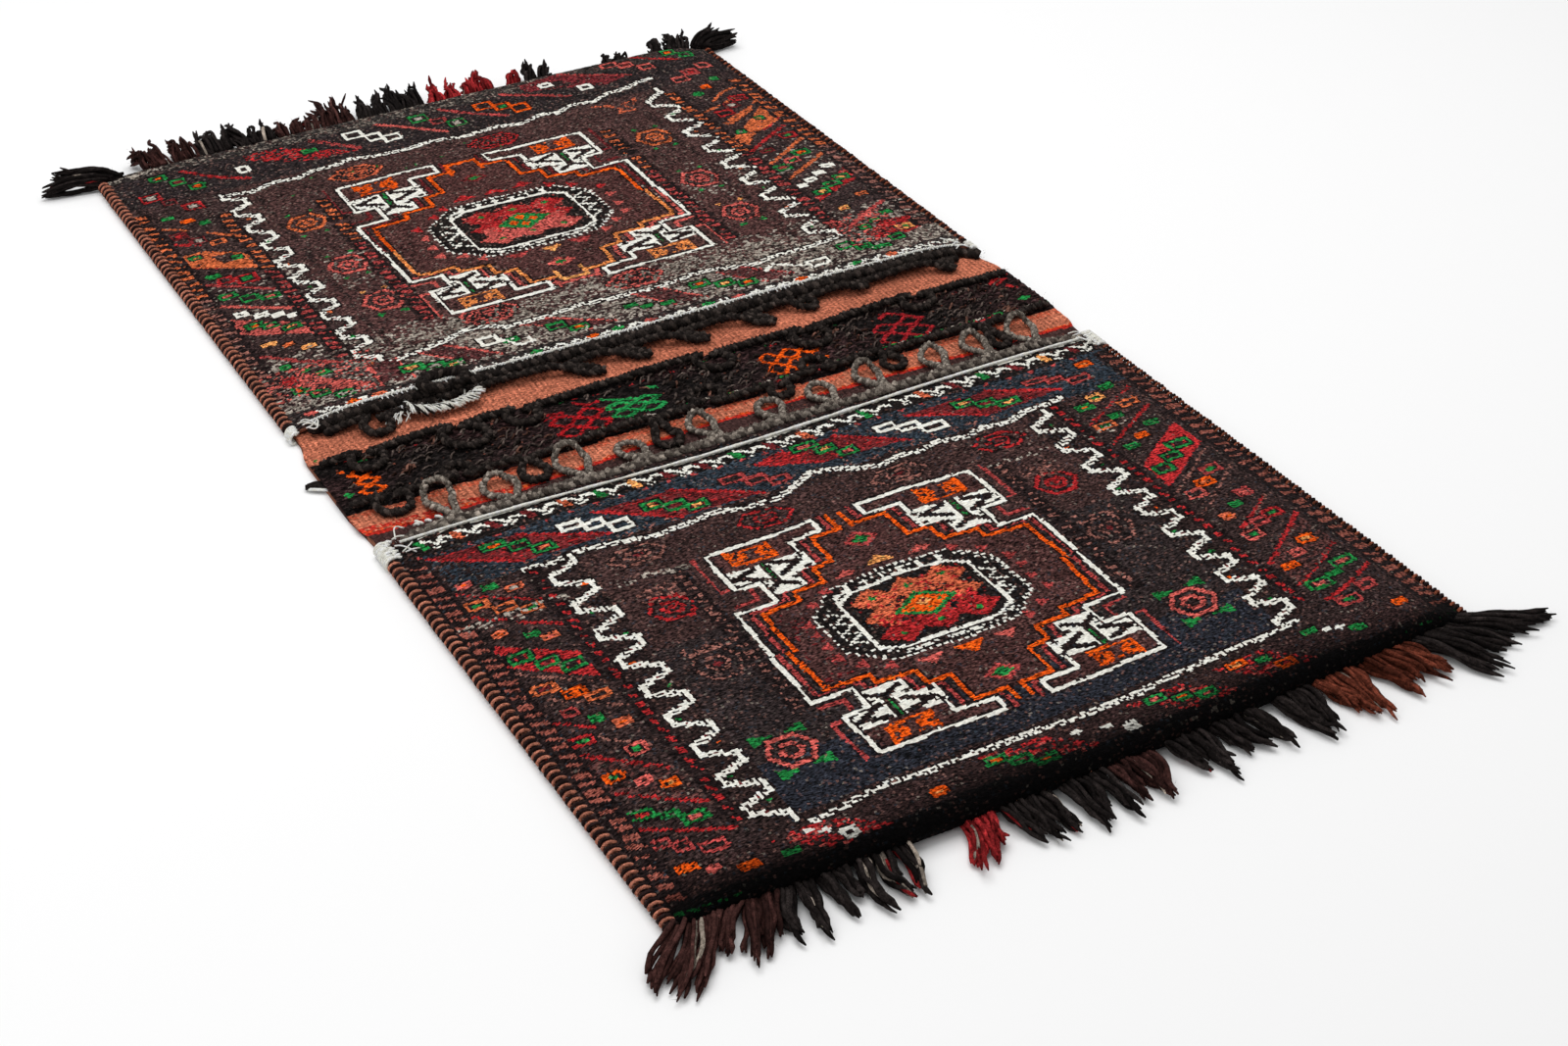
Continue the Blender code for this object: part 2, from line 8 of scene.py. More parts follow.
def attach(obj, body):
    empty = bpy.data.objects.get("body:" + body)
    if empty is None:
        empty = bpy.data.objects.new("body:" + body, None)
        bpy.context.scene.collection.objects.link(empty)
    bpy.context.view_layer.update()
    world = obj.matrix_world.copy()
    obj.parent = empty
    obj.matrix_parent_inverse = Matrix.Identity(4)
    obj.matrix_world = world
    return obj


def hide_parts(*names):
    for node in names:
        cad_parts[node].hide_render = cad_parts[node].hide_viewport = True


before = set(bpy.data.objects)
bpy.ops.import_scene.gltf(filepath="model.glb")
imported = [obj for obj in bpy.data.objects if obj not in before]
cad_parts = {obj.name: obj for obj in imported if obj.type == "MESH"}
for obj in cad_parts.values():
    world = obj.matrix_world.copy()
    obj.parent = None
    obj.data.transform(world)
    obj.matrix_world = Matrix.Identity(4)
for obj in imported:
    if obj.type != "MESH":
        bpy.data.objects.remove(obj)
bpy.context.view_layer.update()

# Camera, floor and light
# The bag lies on a white table. The camera looks down on it from the front left, and
# one wide soft light hangs overhead, a little behind it.
camera_data = bpy.data.cameras.new("camera")
camera_data.lens = 55.67
camera_data.sensor_width = 36.0
camera = bpy.data.objects.new("camera", camera_data)
bpy.context.scene.collection.objects.link(camera)
camera_right = (0.86392, -0.50348, 0.01222)
camera_up = (0.27734, 0.49585, 0.82293)
camera_back = (-0.42039, -0.70756, 0.56801)
camera_place = (-0.74569, -1.39397, 0.95750)
camera.matrix_world = Matrix([(*row, place) for row, place in zip(
    zip(camera_right, camera_up, camera_back), camera_place)] + [(0, 0, 0, 1)])
bpy.context.scene.camera = camera
bpy.context.scene.view_settings.view_transform = "Standard"


def soft_light(name, place, size, watts, turn):
    data = bpy.data.lights.new(name, "AREA")
    data.shape = "RECTANGLE"
    data.size, data.size_y = size
    data.energy = watts
    lamp = bpy.data.objects.new(name, data)
    lamp.location = place
    lamp.rotation_euler = [math.radians(angle) for angle in turn]
    bpy.context.scene.collection.objects.link(lamp)


soft_light("overhead", (0.1, 0.55, 2.6), (2.8, 2.4), 56.0, (-10, 2, 0))
soft_light("left fill", (-2.2, -1.0, 1.7), (1.6, 1.6), 13.0, (42, -42, 0))


class Tone:
    """A varying number in a material. Each operator adds the Math node that it stands for."""

    def __init__(self, recipe, socket):
        self.recipe = recipe
        self.socket = socket

    def maths(self, operation, first, second):
        return self.recipe.node("ShaderNodeMath", {"operation": operation}, {0: first, 1: second})

    def __add__(self, other):
        return self.maths("ADD", self, other)

    def __sub__(self, other):
        return self.maths("SUBTRACT", self, other)

    def __mul__(self, other):
        return self.maths("MULTIPLY", self, other)


class Recipe:
    """One material: its node tree and its shader."""

    def __init__(self, name, roughness=0.95):
        self.material = bpy.data.materials.new(name)
        self.material.use_nodes = True
        self.tree = self.material.node_tree
        self.shader = self.tree.nodes["Principled BSDF"]
        self.shader.inputs["Roughness"].default_value = roughness
        self.shader.inputs["Specular IOR Level"].default_value = 0.04

    def node(self, kind, settings, inputs, output=0):
        made = self.tree.nodes.new(kind)
        for key, value in settings.items():
            setattr(made, key, value)
        for key, value in inputs.items():
            self.feed(made.inputs[key], value)
        return Tone(self, made.outputs[output])

    def feed(self, socket, value):
        if isinstance(value, Tone):
            self.tree.links.new(value.socket, socket)
        else:
            socket.default_value = value

    def place(self):
        return self.node("ShaderNodeTexCoord", {}, {}, "Object")

    def noise(self, place, scale, detail=3.0, rough=0.6):
        return self.node("ShaderNodeTexNoise", {},
                         {"Vector": place, "Scale": scale, "Detail": detail, "Roughness": rough}, "Fac")

    def spread(self, value, low, high, start=0.0, end=1.0):
        return self.node("ShaderNodeMapRange", {},
                         {"Value": value, "From Min": low, "From Max": high, "To Min": start, "To Max": end})

    def mix(self, factor, first, second, blend="MIX"):
        return self.node("ShaderNodeMix", {"data_type": "RGBA", "blend_type": blend},
                         {0: factor, 6: first, 7: second}, 2)

    def bump(self, height, distance, strength=1.0):
        return self.node("ShaderNodeBump", {},
                         {"Height": height, "Distance": distance, "Strength": strength})

    def shaded_yarn(self, depth):
        """The colour of each knot or strand, times depth, a painted shade and highlight, as far as the alpha
        of its yarn colour lets that show.
        """
        yarn = self.tree.nodes.new("ShaderNodeAttribute")
        yarn.attribute_name = "yarn"
        depth = (depth - 1.0) * Tone(self, yarn.outputs["Alpha"]) + 1.0
        depth_colour = self.node("ShaderNodeCombineColor", {}, {0: depth, 1: depth, 2: depth})
        return self.mix(1.0, Tone(self, yarn.outputs["Color"]), depth_colour, "MULTIPLY")

    def set(self, **inputs):
        for key, value in inputs.items():
            self.feed(self.shader.inputs[key.replace("_", " ")], value)
        return self.material


def dye(red, green, blue, alpha=1.0):
    """A colour as seen, from 0 to 255, turned into the linear values that shaders take."""
    def linear(value):
        value /= 255.0
        return value / 12.92 if value <= 0.04045 else ((value + 0.055) / 1.055) ** 2.4
    return (linear(red), linear(green), linear(blue), alpha)


floor_size = 16.0
floor_drop = 0.0002
bpy.ops.object.select_all(action="DESELECT")
bpy.ops.mesh.primitive_plane_add(size=floor_size, location=(0, 0, -floor_drop))
floor = bpy.context.object
floor.name = "floor"
table = Recipe("white table", roughness=0.9)
floor.data.materials.append(table.set(Base_Color=dye(248, 248, 248)))

world = bpy.data.worlds.new("studio")
bpy.context.scene.world = world
world.use_nodes = True
sky = Recipe.__new__(Recipe)
sky.tree = world.node_tree
rays = sky.tree.nodes.new("ShaderNodeLightPath")
seen = Tone(sky, rays.outputs["Is Camera Ray"]) + Tone(sky, rays.outputs["Is Glossy Ray"])
seen = sky.node("ShaderNodeMath", {"operation": "ADD", "use_clamp": True},
                {0: seen, 1: Tone(sky, rays.outputs["Is Transmission Ray"])})
sky_fill = 0.42
sky.feed(sky.tree.nodes["Background"].inputs["Strength"], sky.spread(seen, 0.0, 1.0, sky_fill, 1.0))
sky.tree.nodes["Background"].inputs["Color"].default_value = (1.0, 1.0, 1.0, 1.0)

# The woven cloth
# One long strip of wool kilim. Its ends are folded up over the back as two pockets. The
# front and rear faces carry short pile, and the bridge between them is plain weave and
# brocade. The foundation is one folded sheet, and the patterned surfaces lie on it.
bag_width = 0.600
bag_length = 1.045
front_depth = 0.412
rear_depth = 0.459
seam = 0.0050
seam_gap = 0.0006
seam_run = 0.060
clearance = 0.0003
back_thickness = 0.003
face_thickness = 0.0045
brocade_relief = 0.002
front_tack = 0.023
rear_tack = 0.015
selvedge_run = 0.020
mouth_height = 0.015
ripple_height = 0.0009
ripple_length = 0.230
cloth_half = bag_width / 2 - seam - clearance
selvedge_half = bag_width / 2 - clearance
seam_height = back_thickness + seam_gap + face_thickness
front_mouth = front_depth - bag_length / 2
rear_mouth = bag_length / 2 - rear_depth


def smooth(value):
    value = np.clip(value, 0.0, 1.0)
    return value * value * (3.0 - 2.0 * value)


class PocketShape:
    """The outer surface of one folded end. side is -1 in front and +1 behind."""

    def __init__(self, side, depth, fold_height, tilt, bow):
        self.side, self.depth, self.fold_height, self.tilt, self.bow = side, depth, fold_height, tilt, bow
        self.mouth = side * (bag_length / 2 - depth)

    def fold_line(self, x):
        return self.side * (bag_length / 2 + self.bow * (1.0 - np.minimum(abs(x) / cloth_half, 1.0) ** 2))

    def top(self, x, y):
        along = abs(y - self.fold_line(x)) / self.depth
        fold = self.fold_height + self.tilt * x / cloth_half
        full = mouth_height + (fold - mouth_height) * (1.0 - smooth(along))
        wave = np.sin(math.tau * (x + 0.35 * y) / ripple_length)
        wave = wave + np.sin(math.tau * (0.6 * x - 0.8 * y) / ripple_length + 1.3)
        full = full + ripple_height * wave * np.sin(math.pi * np.minimum(along, 1.0))
        puff = np.sin(math.pi / 2 * np.clip((cloth_half - abs(x)) / seam_run, 0.0, 1.0))
        return seam_height + (full - seam_height) * puff

    def surface(self, x, face_rows, fold_rows):
        """Rows of y and z over the face from the mouth to the fold, then round it to the ground."""
        line = self.fold_line(x)
        radius = self.top(x, line) / 2
        centre = line - self.side * radius
        rows = []
        for k in range(face_rows + 1):
            y = self.mouth + (centre - self.mouth) * k / face_rows
            rows.append((y, self.top(x, y) if k < face_rows else 2 * radius))
        for k in range(1, fold_rows + 1):
            turn = math.pi * k / fold_rows
            rows.append((centre + self.side * radius * math.sin(turn), radius + radius * math.cos(turn)))
        return rows


front = PocketShape(-1, front_depth, 0.021, 0.0, 0.008)
rear = PocketShape(1, rear_depth, 0.0150, 0.0035, 0.002)


def half_width(y):
    out = smooth((y - front_mouth - front_tack) / selvedge_run)
    back_in = smooth((rear_mouth - rear_tack - y) / selvedge_run)
    return cloth_half + (selvedge_half - cloth_half) * np.minimum(out, back_in)


def grid_piece(name, across, rows, places):
    """A sheet modelled from a flat grid of quads whose points are moved to their places."""
    bpy.ops.object.select_all(action="DESELECT")
    bpy.ops.mesh.primitive_grid_add(x_subdivisions=across, y_subdivisions=rows, size=1.0)
    piece = bpy.context.object
    piece.name = name
    piece.data.name = name
    piece.data.vertices.foreach_set("co", places.reshape(-1).astype(np.float32))
    piece.data.update()
    piece.data.shade_smooth()
    return piece


def select_only(item):
    bpy.ops.object.select_all(action="DESELECT")
    item.select_set(True)
    bpy.context.view_layer.objects.active = item


def apply_modifiers(piece):
    select_only(piece)
    for modifier in list(piece.modifiers):
        bpy.ops.object.modifier_apply(modifier=modifier.name)


skin = 0.0007
skin_ramp = 0.004
ground_level = 0.0005
fold_zone = 0.51
across = 48
face_rows = 24
fold_rows = 12
back_rows = 40
xs = np.linspace(-1.0, 1.0, across + 1) * cloth_half
path = front.surface(xs, face_rows, fold_rows)
rear_path = rear.surface(xs, face_rows, fold_rows)
start_y = path[-1][0]
end_y = rear_path[-1][0]
for k in range(1, back_rows):
    path.append((start_y + (end_y - start_y) * k / back_rows, xs * 0.0))
path += list(reversed(rear_path))
places = np.zeros((len(path), across + 1, 3))
for row, (y, z) in enumerate(path):
    y = y + xs * 0.0
    # The foundation lies a skin's depth under the faces, and flat on the ground below
    places[row, :, 0] = xs * half_width(y) / cloth_half
    places[row, :, 1] = y - np.sign(y) * skin * (z > ground_level) * (abs(y) > fold_zone)
    places[row, :, 2] = np.maximum(z - skin * smooth(z / skin_ramp), 0.0)
foundation = grid_piece("kilim_foundation", across, len(path) - 1, places)
select_only(foundation)
bpy.ops.object.mode_set(mode="EDIT")
bpy.ops.mesh.select_all(action="SELECT")
bpy.ops.mesh.normals_make_consistent(inside=False)
bpy.ops.object.mode_set(mode="OBJECT")
middle_face = min(foundation.data.polygons, key=lambda face: abs(face.center.y) + abs(face.center.x))
if middle_face.normal.z > 0:
    foundation.data.flip_normals()
thicken = foundation.modifiers.new("thickness", "SOLIDIFY")
thicken.thickness = back_thickness
thicken.offset = -1.0
thicken.use_rim = True
apply_modifiers(foundation)
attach(foundation, "root")

flat_weave = Recipe("plain weave of the back")
place = flat_weave.place()
stripes = flat_weave.node("ShaderNodeTexWave", {"bands_direction": "Y", "wave_profile": "SAW"},
                          {"Vector": place, "Scale": 2.1, "Distortion": 0.15, "Detail": 1.0})
ramp = flat_weave.tree.nodes.new("ShaderNodeValToRGB")
ramp.color_ramp.interpolation = "CONSTANT"
for stop, colour in ((0.0, dye(178, 116, 92)), (0.46, dye(76, 54, 52)), (0.60, dye(170, 60, 43)),
                     (0.64, dye(70, 50, 48)), (0.80, dye(178, 116, 92))):
    step = ramp.color_ramp.elements.new(stop) if stop else ramp.color_ramp.elements[0]
    step.color = colour
flat_weave.feed(ramp.inputs[0], stripes)
ribs = flat_weave.node("ShaderNodeTexWave", {"bands_direction": "X"}, {"Vector": place, "Scale": 160.0})
fuzz = flat_weave.noise(place, 900.0)
stripe_colour = flat_weave.mix(fuzz, Tone(flat_weave, ramp.outputs[0]), dye(40, 28, 26))
foundation.data.materials.append(flat_weave.set(
    Base_Color=stripe_colour, Normal=flat_weave.bump(ribs * 0.6 + fuzz * 0.5, 0.0006)))


class Weaving:
    """The knots of one patterned surface: plan place in mm, colour and pile height in mm.

    Widths, heights and pitches are in mm too. lift is the pile's height, and share is the
    part of the knots that take the colour.
    """

    def __init__(self, x, y, seed):
        self.random = np.random.default_rng(seed)
        self.plain_x, self.plain_y = x, y
        sway = 0.9 * np.sin(x / 41.0 + y / 57.0) + 0.5 * np.sin(y / 13.0 + 2.0 * np.sin(x / 29.0))
        lean = 0.8 * np.sin(x / 37.0 - y / 71.0) + 0.5 * np.sin(x / 11.0 + 1.7 * np.sin(y / 23.0))
        self.x = x + sway + self.random.normal(0, 0.12, len(x))
        self.y = y + lean + self.random.normal(0, 0.12, len(x))
        self.colour = np.zeros((len(x), 3))
        self.lift = np.zeros(len(x))
        # How strongly the shader's painted shade and highlight show on each knot
        self.painted_shade_weight = np.ones(len(x))
        # Neighbours in a row often take the same yarn, so a share falls in short streaks
        row_height = 1.8
        streak_length = 3.9
        streak_share = 0.75
        draws = self.random.random(4096)
        rows = np.floor(y / row_height)
        number = (np.floor(x / streak_length + 0.37 * rows) + 67 * rows).astype(int) % len(draws)
        in_streak = self.random.random(len(x)) < streak_share
        self.chance = np.where(in_streak, draws[number], self.random.random(len(x)))

    def within(self, left, right, low, high):
        return np.nonzero((self.x > left) & (self.x < right) & (self.y > low) & (self.y < high))[0]

    def put(self, knots, colour, lift=0.0, share=1.0):
        if share < 1.0:
            knots = knots[self.chance[knots] < share]
        self.colour[knots] = colour[:3]
        self.lift[knots] = lift

    def ground(self, left, right, low, high, colour, share=1.0):
        self.put(self.within(left, right, low, high), colour, 0.0, share)

    def thread(self, points, width, colour, lift=0.15, share=1.0, halo=0.0):
        """A line of knots through the points. A halo sets dark knots along both sides."""
        if halo:
            self.thread(points, width + 2 * halo, outline, 0.0)
        across, up = zip(*points)
        knots = self.within(min(across) - width, max(across) + width, min(up) - width, max(up) + width)
        x, y = self.x[knots], self.y[knots]
        gap = np.full(len(knots), 1e9)
        for (ax, ay), (bx, by) in zip(points, points[1:]):
            dx, dy = bx - ax, by - ay
            t = np.clip(((x - ax) * dx + (y - ay) * dy) / (dx * dx + dy * dy + 1e-9), 0.0, 1.0)
            gap = np.minimum(gap, np.hypot(x - ax - t * dx, y - ay - t * dy))
        self.put(knots[gap < width / 2], colour, lift, share)

    def field(self, points, colour, lift=0.0, share=1.0):
        """A filled outline."""
        across, up = zip(*points)
        knots = self.within(min(across), max(across), min(up), max(up))
        x, y = self.x[knots], self.y[knots]
        inside = np.zeros(len(knots), dtype=bool)
        for (ax, ay), (bx, by) in zip(points, points[1:] + points[:1]):
            if ay != by:
                inside ^= ((ay > y) != (by > y)) & (x < (bx - ax) * (y - ay) / (by - ay) + ax)
        self.put(knots[inside], colour, lift, share)

    def lozenge(self, x, y, width, height, colour, lift=0.0, share=1.0):
        w, h = width / 2, height / 2
        self.field([(x - w, y), (x, y + h), (x + w, y), (x, y - h)], colour, lift, share)

    def boxes(self, rows, line=2.6):
        """Square rings with a small centre. A row is x, y, width, height, ring and centre dye."""
        rings = []
        for x, y, width, height, edge, middle in rows:
            w, h = width / 2 - line / 2 + 0.6, height / 2 - line / 2 + 0.3
            rings.append((x, y, edge, middle, [(x - w, y - h), (x - w, y + h), (x + w, y + h), (x + w, y - h),
                                               (x - w, y - h)]))
            self.thread(rings[-1][-1], line + 2.6, outline, 0.0)
        for x, y, edge, middle, ring in rings:
            inner = [(x + (a - x) * 0.50, y + (b - y) * 0.50) for a, b in ring[:4]]
            self.field(inner, middle, 0.15)
            self.thread(ring, line + (0.7 if edge is white else 0.0), edge, 0.25)

    def hexagon(self, x, y, width, height, colour, middle, line=2.4, share=0.75):
        """A flat hexagon with a ring inside it."""
        for size in (1.0, 0.45):
            w, h = width / 2 * size, height / 2 * size
            ring = [(x - w, y), (x - w * 0.5, y + h), (x + w * 0.5, y + h), (x + w, y), (x + w * 0.5, y - h),
                    (x - w * 0.5, y - h), (x - w, y)]
            self.thread(ring, line, colour, 0.1, share, 1.2)
        self.lozenge(x, y, width * 0.22, height * 0.22, middle, 0.1)

    def marks(self, x, start, end, pitch, width, colour, share=0.85):
        """A column of small hooked marks along a guard stripe."""
        count = int(abs(end - start) / pitch)
        step = (end - start) / count
        for k in range(count):
            y = start + step * (k + self.random.normal(0, 0.10))
            low, high = pitch * self.random.uniform(-0.16, 0.16), pitch * self.random.uniform(0.20, 0.46)
            shape = [(x - width / 2, y + high), (x + width / 2, y - low + pitch * 0.10),
                     (x + width / 2, y - high), (x - width / 2, y + low - pitch * 0.10)]
            self.thread([(x - width / 2, y), (x + width / 2, y)], pitch * 0.9, outline)
            self.field(shape, colour, 0.15, share)

    def twist(self, points, width, colour, dark, pitch=3.4):
        """A white line of two threads that cross, with the ground between them."""
        self.thread(points, width, colour, 0.3, 1.0, 1.4)
        for (ax, ay), (bx, by) in zip(points, points[1:]):
            length = math.hypot(bx - ax, by - ay)
            for k in range(int(length / pitch)):
                t = (k + 0.5) * pitch / length
                x, y = ax + (bx - ax) * t, ay + (by - ay) * t
                away = width * (0.10 if k % 2 else -0.10)
                self.lozenge(x, y + away, pitch * 0.95, width * 0.62, dark, 0.0)
                self.lozenge(x + pitch / 2, y - away * 5.0, pitch * 0.8, width * 0.50, outline, 0.0)

    def teeth(self, outer, inner, starts, run, width, colour, dark):
        """The white zigzag of a frame's side: short upright runs joined by slanting ones."""
        points = []
        for k, y in enumerate(starts):
            x = inner if k % 2 else outer
            points += [(x, y + run / 2), (x, y - run / 2)]
        self.thread(points, width * 1.7 + 3.4, outline, 0.0)
        for (ax, ay), (bx, by) in zip(points[1::2], points[2::2]):
            self.thread([(ax, ay), (bx, by)], width * 1.75, colour, 0.3)
            for number, t in enumerate((0.10, 0.26, 0.42, 0.58, 0.74, 0.90)):
                side = -0.30 if number % 2 else 0.30
                x, y = ax + (bx - ax) * t, ay + (by - ay) * t
                self.lozenge(x, y + side * width, 3.2, 2.7, dark_red if t == 0.42 else dark, 0.0)
                self.lozenge(x, y - side * width * 3.2, 3.2, 2.6, outline, 0.0)
        for upper, lower in zip(points[::2], points[1::2]):
            self.thread([upper, lower], width, colour, 0.3)

    def corner(self, x_in, x_out, y_out, y_in, x_side, y_side, bright, soft):
        """A quarter of the medallion: a bar with a butterfly, white bird blocks and stepped lines."""
        def at(*pairs):
            return [(x_in + (x_out - x_in) * a, y_out + (y_in - y_out) * b) for a, b in pairs]
        side_rose = x_in + (x_out - x_in) * 1.08
        self.thread(at((1.12, 0.0), (1.13, 0.62), (0.92, 0.63), (0.92, 0.88), (1.12, 0.90)), 2.8, soft, 0.1)
        self.thread(at((-0.08, -0.02), (-0.07, 0.18), (0.22, 0.22), (0.235, 0.63), (0.42, 0.65),
                       (0.43, 0.90), (0.71, 0.92), (0.72, 1.04), (1.06, 1.06)) + [(side_rose, y_side)], 3.0,
                    soft, 0.1, 0.9, 1.4)
        self.thread(at((-0.14, 0.24), (0.13, 0.26), (0.14, 0.68), (0.33, 0.71), (0.34, 0.94), (0.62, 0.96),
                       (0.63, 1.10), (0.98, 1.12)) + [(x_out, y_side)], 3.4, bright, 0.2, 1.0, 1.4)
        self.field(at((0.0, 0.0), (1.0, 0.02), (1.0, 0.40), (0.31, 0.40), (0.31, 0.20), (0.0, 0.18)), brown)
        self.field(at((1.03, 0.39), (1.03, 0.67), (0.82, 0.67), (0.81, 0.91), (0.47, 0.91), (0.47, 0.66),
                      (0.28, 0.66), (0.28, 0.37)), white, 0.3)
        self.field(at((0.62, 0.36), (0.70, 0.36), (0.70, 0.76), (0.62, 0.76)), dark)
        self.thread(at((0.66, 0.40), (0.66, 0.70)), 2.2, green, 0.1, 0.7)
        for bird in (((0.75, 0.43), (0.94, 0.51), (0.74, 0.64)), ((0.58, 0.41), (0.38, 0.50), (0.57, 0.62)),
                     ((0.79, 0.84), (0.66, 0.74), (0.52, 0.84))):
            self.thread(at(*bird), 4.6, outline, 0.0)
            self.lozenge(*at(bird[1])[0], 10.0, 7.0, outline)
        for notch in ((1.0, 0.44), (0.98, 0.62), (0.33, 0.44), (0.34, 0.62), (0.50, 0.72), (0.79, 0.72)):
            self.lozenge(*at(notch)[0], 8.0, 4.6, outline)
        self.thread(at((0.31, 0.37), (0.31, 0.20), (0.0, 0.17), (0.0, -0.02), (1.0, 0.03), (1.02, 0.66),
                       (0.81, 0.67), (0.80, 1.0)) + [(x_side, y_in), (x_side, y_side)], 2.9, white, 0.35,
                    1.0, 1.4)
        for left, right in ((0.46, 0.62), (0.86, 0.70)):
            self.field(at((left, 0.04), (right, 0.15), (right, 0.23), (left, 0.33)), bright, 0.2, 0.9)
            self.lozenge(*at((left * 0.6 + right * 0.4, 0.19))[0], 5.0, 5.0, dark)
        self.thread(at((0.48, 0.31), (0.84, 0.31)), 2.4, bright, 0.2)
        self.thread(at((0.54, 0.10), (0.80, 0.10)), 1.8, bright, 0.1, 0.6)

    def octagon(self, x, y, left, right, low, high, upper, lower, share=1.0):
        """The medallion's heart: dotted rings, a white octagon, a lobed field and a green lozenge."""
        slope = 15.0
        outer = [(left - 22, low + 14), (left - 22, high - 14), (left + 4, high + 9), (x, high + 12),
                 (right - 4, high + 9), (right + 20, high - 14), (right + 20, low + 14), (right - 4, low - 8),
                 (x, low - 11), (left + 4, low - 8)]
        self.field(outer, black)
        for a, b in zip(outer, outer[1:] + outer[:1]):
            length = math.hypot(b[0] - a[0], b[1] - a[1])
            count = int(length / 5.2)
            for k in range(count):
                t = (k + 0.5) / count
                dot_x, dot_y = a[0] + (b[0] - a[0]) * t, a[1] + (b[1] - a[1]) * t
                self.lozenge(dot_x, dot_y, 3.6, 3.2, white, 0.25)
                self.lozenge(x + (dot_x - x) * 0.94 + 2.6, y + (dot_y - y) * 0.90, 2.8, 2.6, white, 0.2, 0.6)
        ring = [(left, low + slope * 0.5), (left, high - slope * 0.6), (left + slope, high - 1),
                (x, high + 1), (right - slope, high - 1), (right, high - slope * 0.6),
                (right, low + slope * 0.5), (right - slope, low), (x, low - 1), (left + slope, low),
                (left, low + slope * 0.5)]
        self.thread(ring, 2.9, white, 0.3, 1.0, 1.2)
        self.twist([(left + 4, low + 2), (left + slope, low - 5), (x, low - 5), (right - slope, low - 5),
                    (right - 4, low + 2)], 2.6, white, black, 5.0)
        self.thread([(left, high - slope * 0.6), (left + 4, high), (left + slope, high + 2)], 2.6, white, 0.3)
        for k in range(6):
            tick = left + slope + (right - left - 2 * slope) * k / 5
            self.thread([(tick, high + 1), (tick, high + 7)], 2.6, white, 0.3)
        for side_x, out in ((left, -1), (right, 1)):
            zigzag = []
            for k in range(8):
                tooth_y = high - slope - k * (high - low - 2 * slope) / 7
                zigzag.append((side_x + out * (2 if k % 2 else 13), tooth_y))
            self.thread(zigzag, 1.7, white, 0.2, 0.8)
        for column in (-1, 0, 1):
            for row in (-1, 0, 1):
                cx, cy = x + 28.5 * column, (high + low) / 2 + 19.0 * row
                tone = upper if row > 0 or (row == 0 and column) else lower
                self.lozenge(cx, cy, 36.0, 25.0, tone, 0.1)
        self.ground(x - 34, x + 34, (high + low) / 2, high - 14, upper, 0.55)
        self.ground(x - 44, x + 44, low + 14, high - 8, dark_red, 0.10)
        self.ground(x - 44, x + 44, (high + low) / 2 - 6, high - 8, lower, 0.14)
        self.ground(x - 38, x + 36, low + 12, (high + low) / 2, lower, 0.7)
        for column in (-1, 0, 1):
            for row in (-1, 1):
                self.lozenge(x + 28.5 * column, (high + low) / 2 + 21.0 * row, 8.0, 5.0, green, 0.1, 0.9)
        self.lozenge(x, y, 50.0, 29.0, green, 0.2)
        self.lozenge(x, y, 39.0, 20.5, orange, 0.25)
        self.lozenge(x, y + 2, 12.0, 8.0, pale_orange, 0.25)
        self.lozenge(x, y + 3, 4.0, 3.0, dark_red, 0.2)
        for dx, dy in ((-11, -1), (11, 0), (0, -6)):
            self.lozenge(x + dx, y + dy, 4.5, 3.5, green, 0.2, 0.7)

    def shade(self, spread, flecks):
        """Uneven dye: every knot differs a little, rows differ together, and worn knots show pale."""
        count = len(self.x)
        rows = np.floor(self.plain_y / 2.1).astype(int)
        row_tone = self.random.normal(0, 0.06, rows.max() - rows.min() + 1)[rows - rows.min()]
        patch = 0.07 * np.sin(self.plain_x / 23.0 + 3.1 * np.sin(self.plain_y / 19.0))
        pale = np.clip(self.colour.min(axis=1) / 0.5, 0.0, 1.0)
        spread = np.where(self.lift > 0.05, 0.55, 1.0) * spread
        factor = np.exp((self.random.normal(0, 1.0, count) * spread + row_tone + patch) * (1.0 - 0.8 * pale))
        self.colour *= factor[:, None]
        for colour, share in flecks:
            knots = np.nonzero(self.random.random(count) < share)[0]
            bare = (self.lift[knots] < 0.05) | (self.random.random(len(knots)) < 0.3)
            knots = knots[bare & (self.colour[knots].max(axis=1) < 0.4)]
            mixing = self.random.random(len(knots))[:, None] * 0.8
            self.colour[knots] = self.colour[knots] * (1 - mixing) + np.array(colour[:3]) * mixing
        self.colour = np.clip(self.colour, 0.0, 0.92)


white = dye(246, 243, 232)
outline = dye(34, 25, 25)
bone = dye(176, 166, 154)
grey = dye(132, 122, 112)
black = dye(30, 25, 24)
dark = dye(46, 34, 33)
brown = dye(78, 50, 48)
navy = dye(46, 55, 64)
green = dye(32, 126, 60)
orange = dye(236, 88, 20)
pale_orange = dye(246, 160, 92)
rust = dye(208, 104, 62)
red = dye(172, 40, 42)
dark_red = dye(112, 38, 40)
rose = dye(202, 92, 84)
rose_red = dye(170, 66, 64)
salmon = dye(206, 100, 68)
pink_brown = dye(146, 96, 86)

knot = 0.0017
# The figures were laid out on a plan at the mouth's height, along the camera's line of sight
sight_x, sight_y = 0.740, 1.246


def cell_middles(grid):
    return (grid[:-1, :-1] + grid[1:, :-1] + grid[:-1, 1:] + grid[1:, 1:]) / 4


mouth_lip = 0.0030
edge_tuck = 0.002


